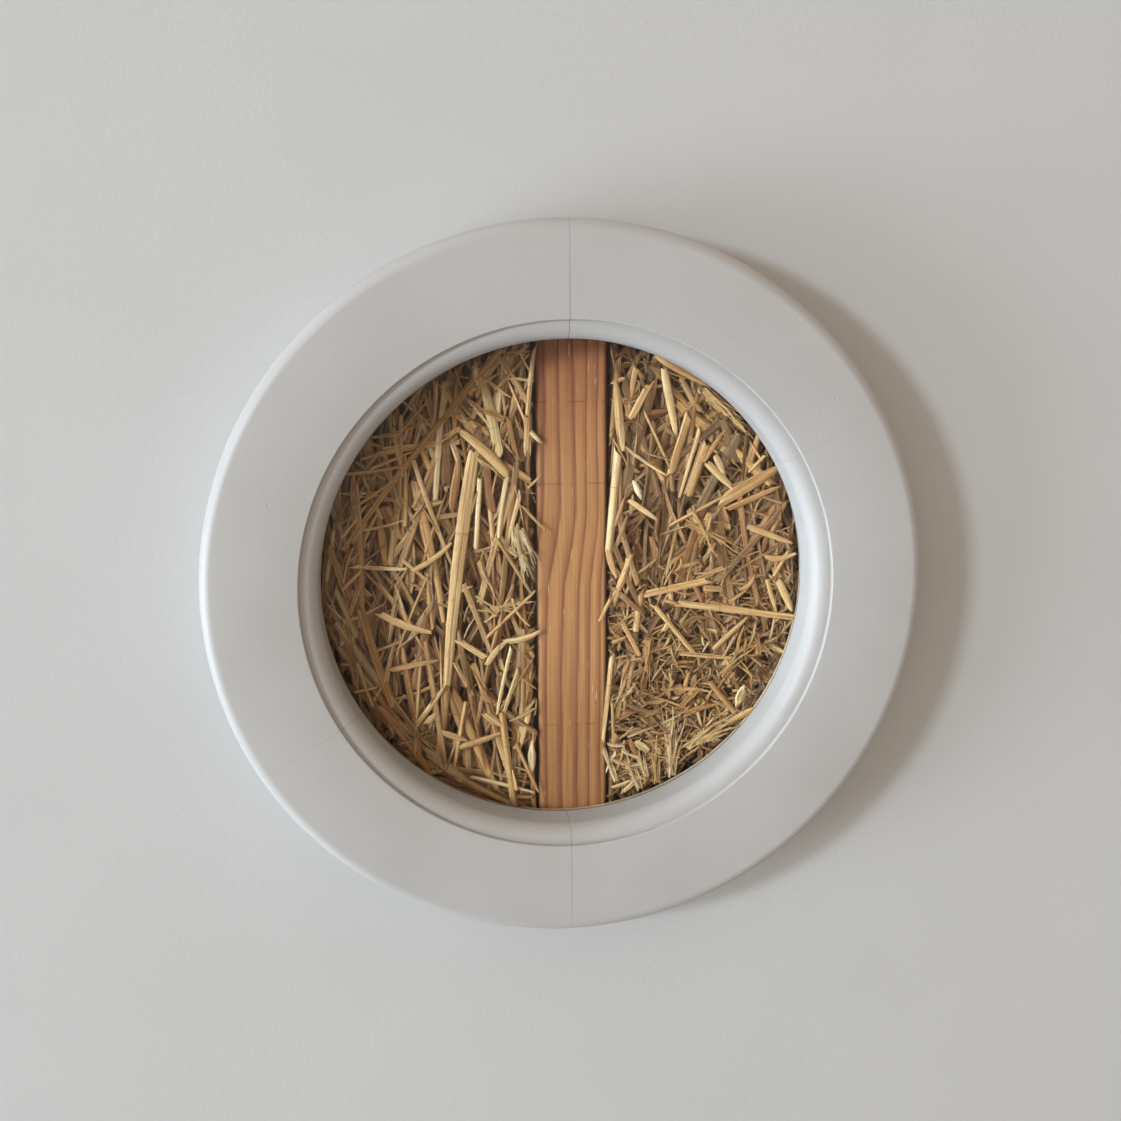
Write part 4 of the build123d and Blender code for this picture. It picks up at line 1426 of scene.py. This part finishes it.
def strawMaterial():
    material, shader = newMaterial("dry straw")
    pattern = addNode("ShaderNodeAttribute", attribute_name="grownPlace").outputs["Vector"]
    tone, grey, at = separate(addNode("ShaderNodeAttribute", attribute_name="finish").outputs["Vector"])
    fibres = noise(pattern, *strawFinish["fibres"])
    creases = noise(pattern, *strawFinish["creases"])
    patches = remap(noise(pattern, *strawFinish["patches"]), *strawFinish["patchReach"])
    color = ramp(plus(tone, patches), strawFinish["tones"])
    color = blend(times(grey, strawFinish["weatheredBlend"]), color, strawFinish["weathered"])
    color = tint(color, fibres, *strawFinish["fibreTint"])
    color = tint(color, creases, *strawFinish["creaseTint"])
    specks = remap(noise(pattern, *strawFinish["specks"]), *strawFinish["speckReach"])
    color = blend(specks, color, strawFinish["dark"])
    away = remap(calc("ABSOLUTE", minus(at, strawFinish["nodeAt"])), 0.0, strawFinish["nodeReach"])
    node = times(minus(1.0, away), strawFinish["nodeBlend"])
    color = blend(node, color, strawFinish["dark"])
    # painted shade: darker where a stalk turns away into the gaps, and in the depth of the pack
    normal = separate(addNode("ShaderNodeTexCoord").outputs["Normal"])
    color = tint(color, remap(calc("ABSOLUTE", normal[1]), *strawFinish["turned"]), *strawFinish["paintedGapShade"])
    color = tint(color, remap(place()[2], 0.0, hole["back"]), *strawFinish["paintedDepthShade"])
    height = plus(times(creases, strawFinish["creaseHeight"]), fibres)
    finish(shader, color, gloss(fibres, strawFinish), height, strawFinish)
    return material


def modelCore(side, name):
    # the matted middle of the imported straw, between the front and the back stalks; its near-black colour is
    # painted shade
    piece = addPrimitive(bpy.ops.mesh.primitive_cylinder_add, "straw_core_" + name, vertices=96,
                         radius=core["radius"], depth=core["depth"], location=(0, core["middle"], 0),
                         rotation=(math.radians(90), 0, 0))
    settle(piece)
    applyModifier(piece, "REMESH", mode="VOXEL", voxel_size=core["voxel"])
    rumple = bpy.data.textures.new("rumple " + name, "CLOUDS")
    rumple.noise_scale = core["rumple"]
    applyModifier(piece, "DISPLACE", texture=rumple, strength=core["rumpleHeight"],
                  mid_level=core["rumpleMiddle"], direction="Y", texture_coords="LOCAL")
    startEdit(piece)
    edge = hole["stud"][side] + side * core["studGap"]
    bpy.ops.mesh.bisect(plane_co=(edge, 0, 0), plane_no=(side, 0, 0), use_fill=True, clear_inner=True)
    endEdit()
    smoothByAngle(piece, core["smooth"])
    return piece


def layNotable(side):
    stalks = []
    for kind, x0, y0, x1, y1, width, level, tone, *bow in notable[side]:
        depth = levelDepth[level]
        ends = [photoSpot(*spot, depth) for spot in ((x0, y0), (x1, y1))]
        wide = width * mm / (laying["stripWidth"] if kind in stripKinds else 1.0)
        roll = dice.gauss(0, laying["spread"]["notableRoll"])
        stalks.append(layStalk(kind, *((end.x, end.z) for end in ends), wide, (depth, depth), tone,
                               laying["notableGrey"], bow=sum(bow), roll=roll))
    return stalks


def layZones(side, names):
    stalks = []
    for name in names:
        if name in strawSides[side]:
            stalks += scatter(side, {**strawLayers[name], **strawSides[side][name]})
    return stalks


def layStraw(side, name):
    packed = layZones(side, ("beside", "deep", "middle", "back"))
    pieces = [joinAll(packed, "straw_packed_" + name)]
    front = layZones(side, ("top", "bits", "chopped")) + layNotable(side)
    pieces.append(joinAll(front, "straw_front_" + name))
    pieces.append(modelCore(side, name))
    return pieces


straw = strawMaterial()
paintedShadeStraw = woodMaterial("matted straw", shadowed)
for side, name in ((-1, "left"), (1, "right")):
    for piece in layStraw(side, name):
        setMaterial(piece, paintedShadeStraw if "core" in piece.name else straw)
        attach(piece, "root")
        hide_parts("straw_" + name)
        print(piece.name, "triangles:", sum(len(face.vertices) - 2 for face in piece.data.polygons))
for obj in grown.values():
    bpy.data.objects.remove(obj)
print("straw laid")
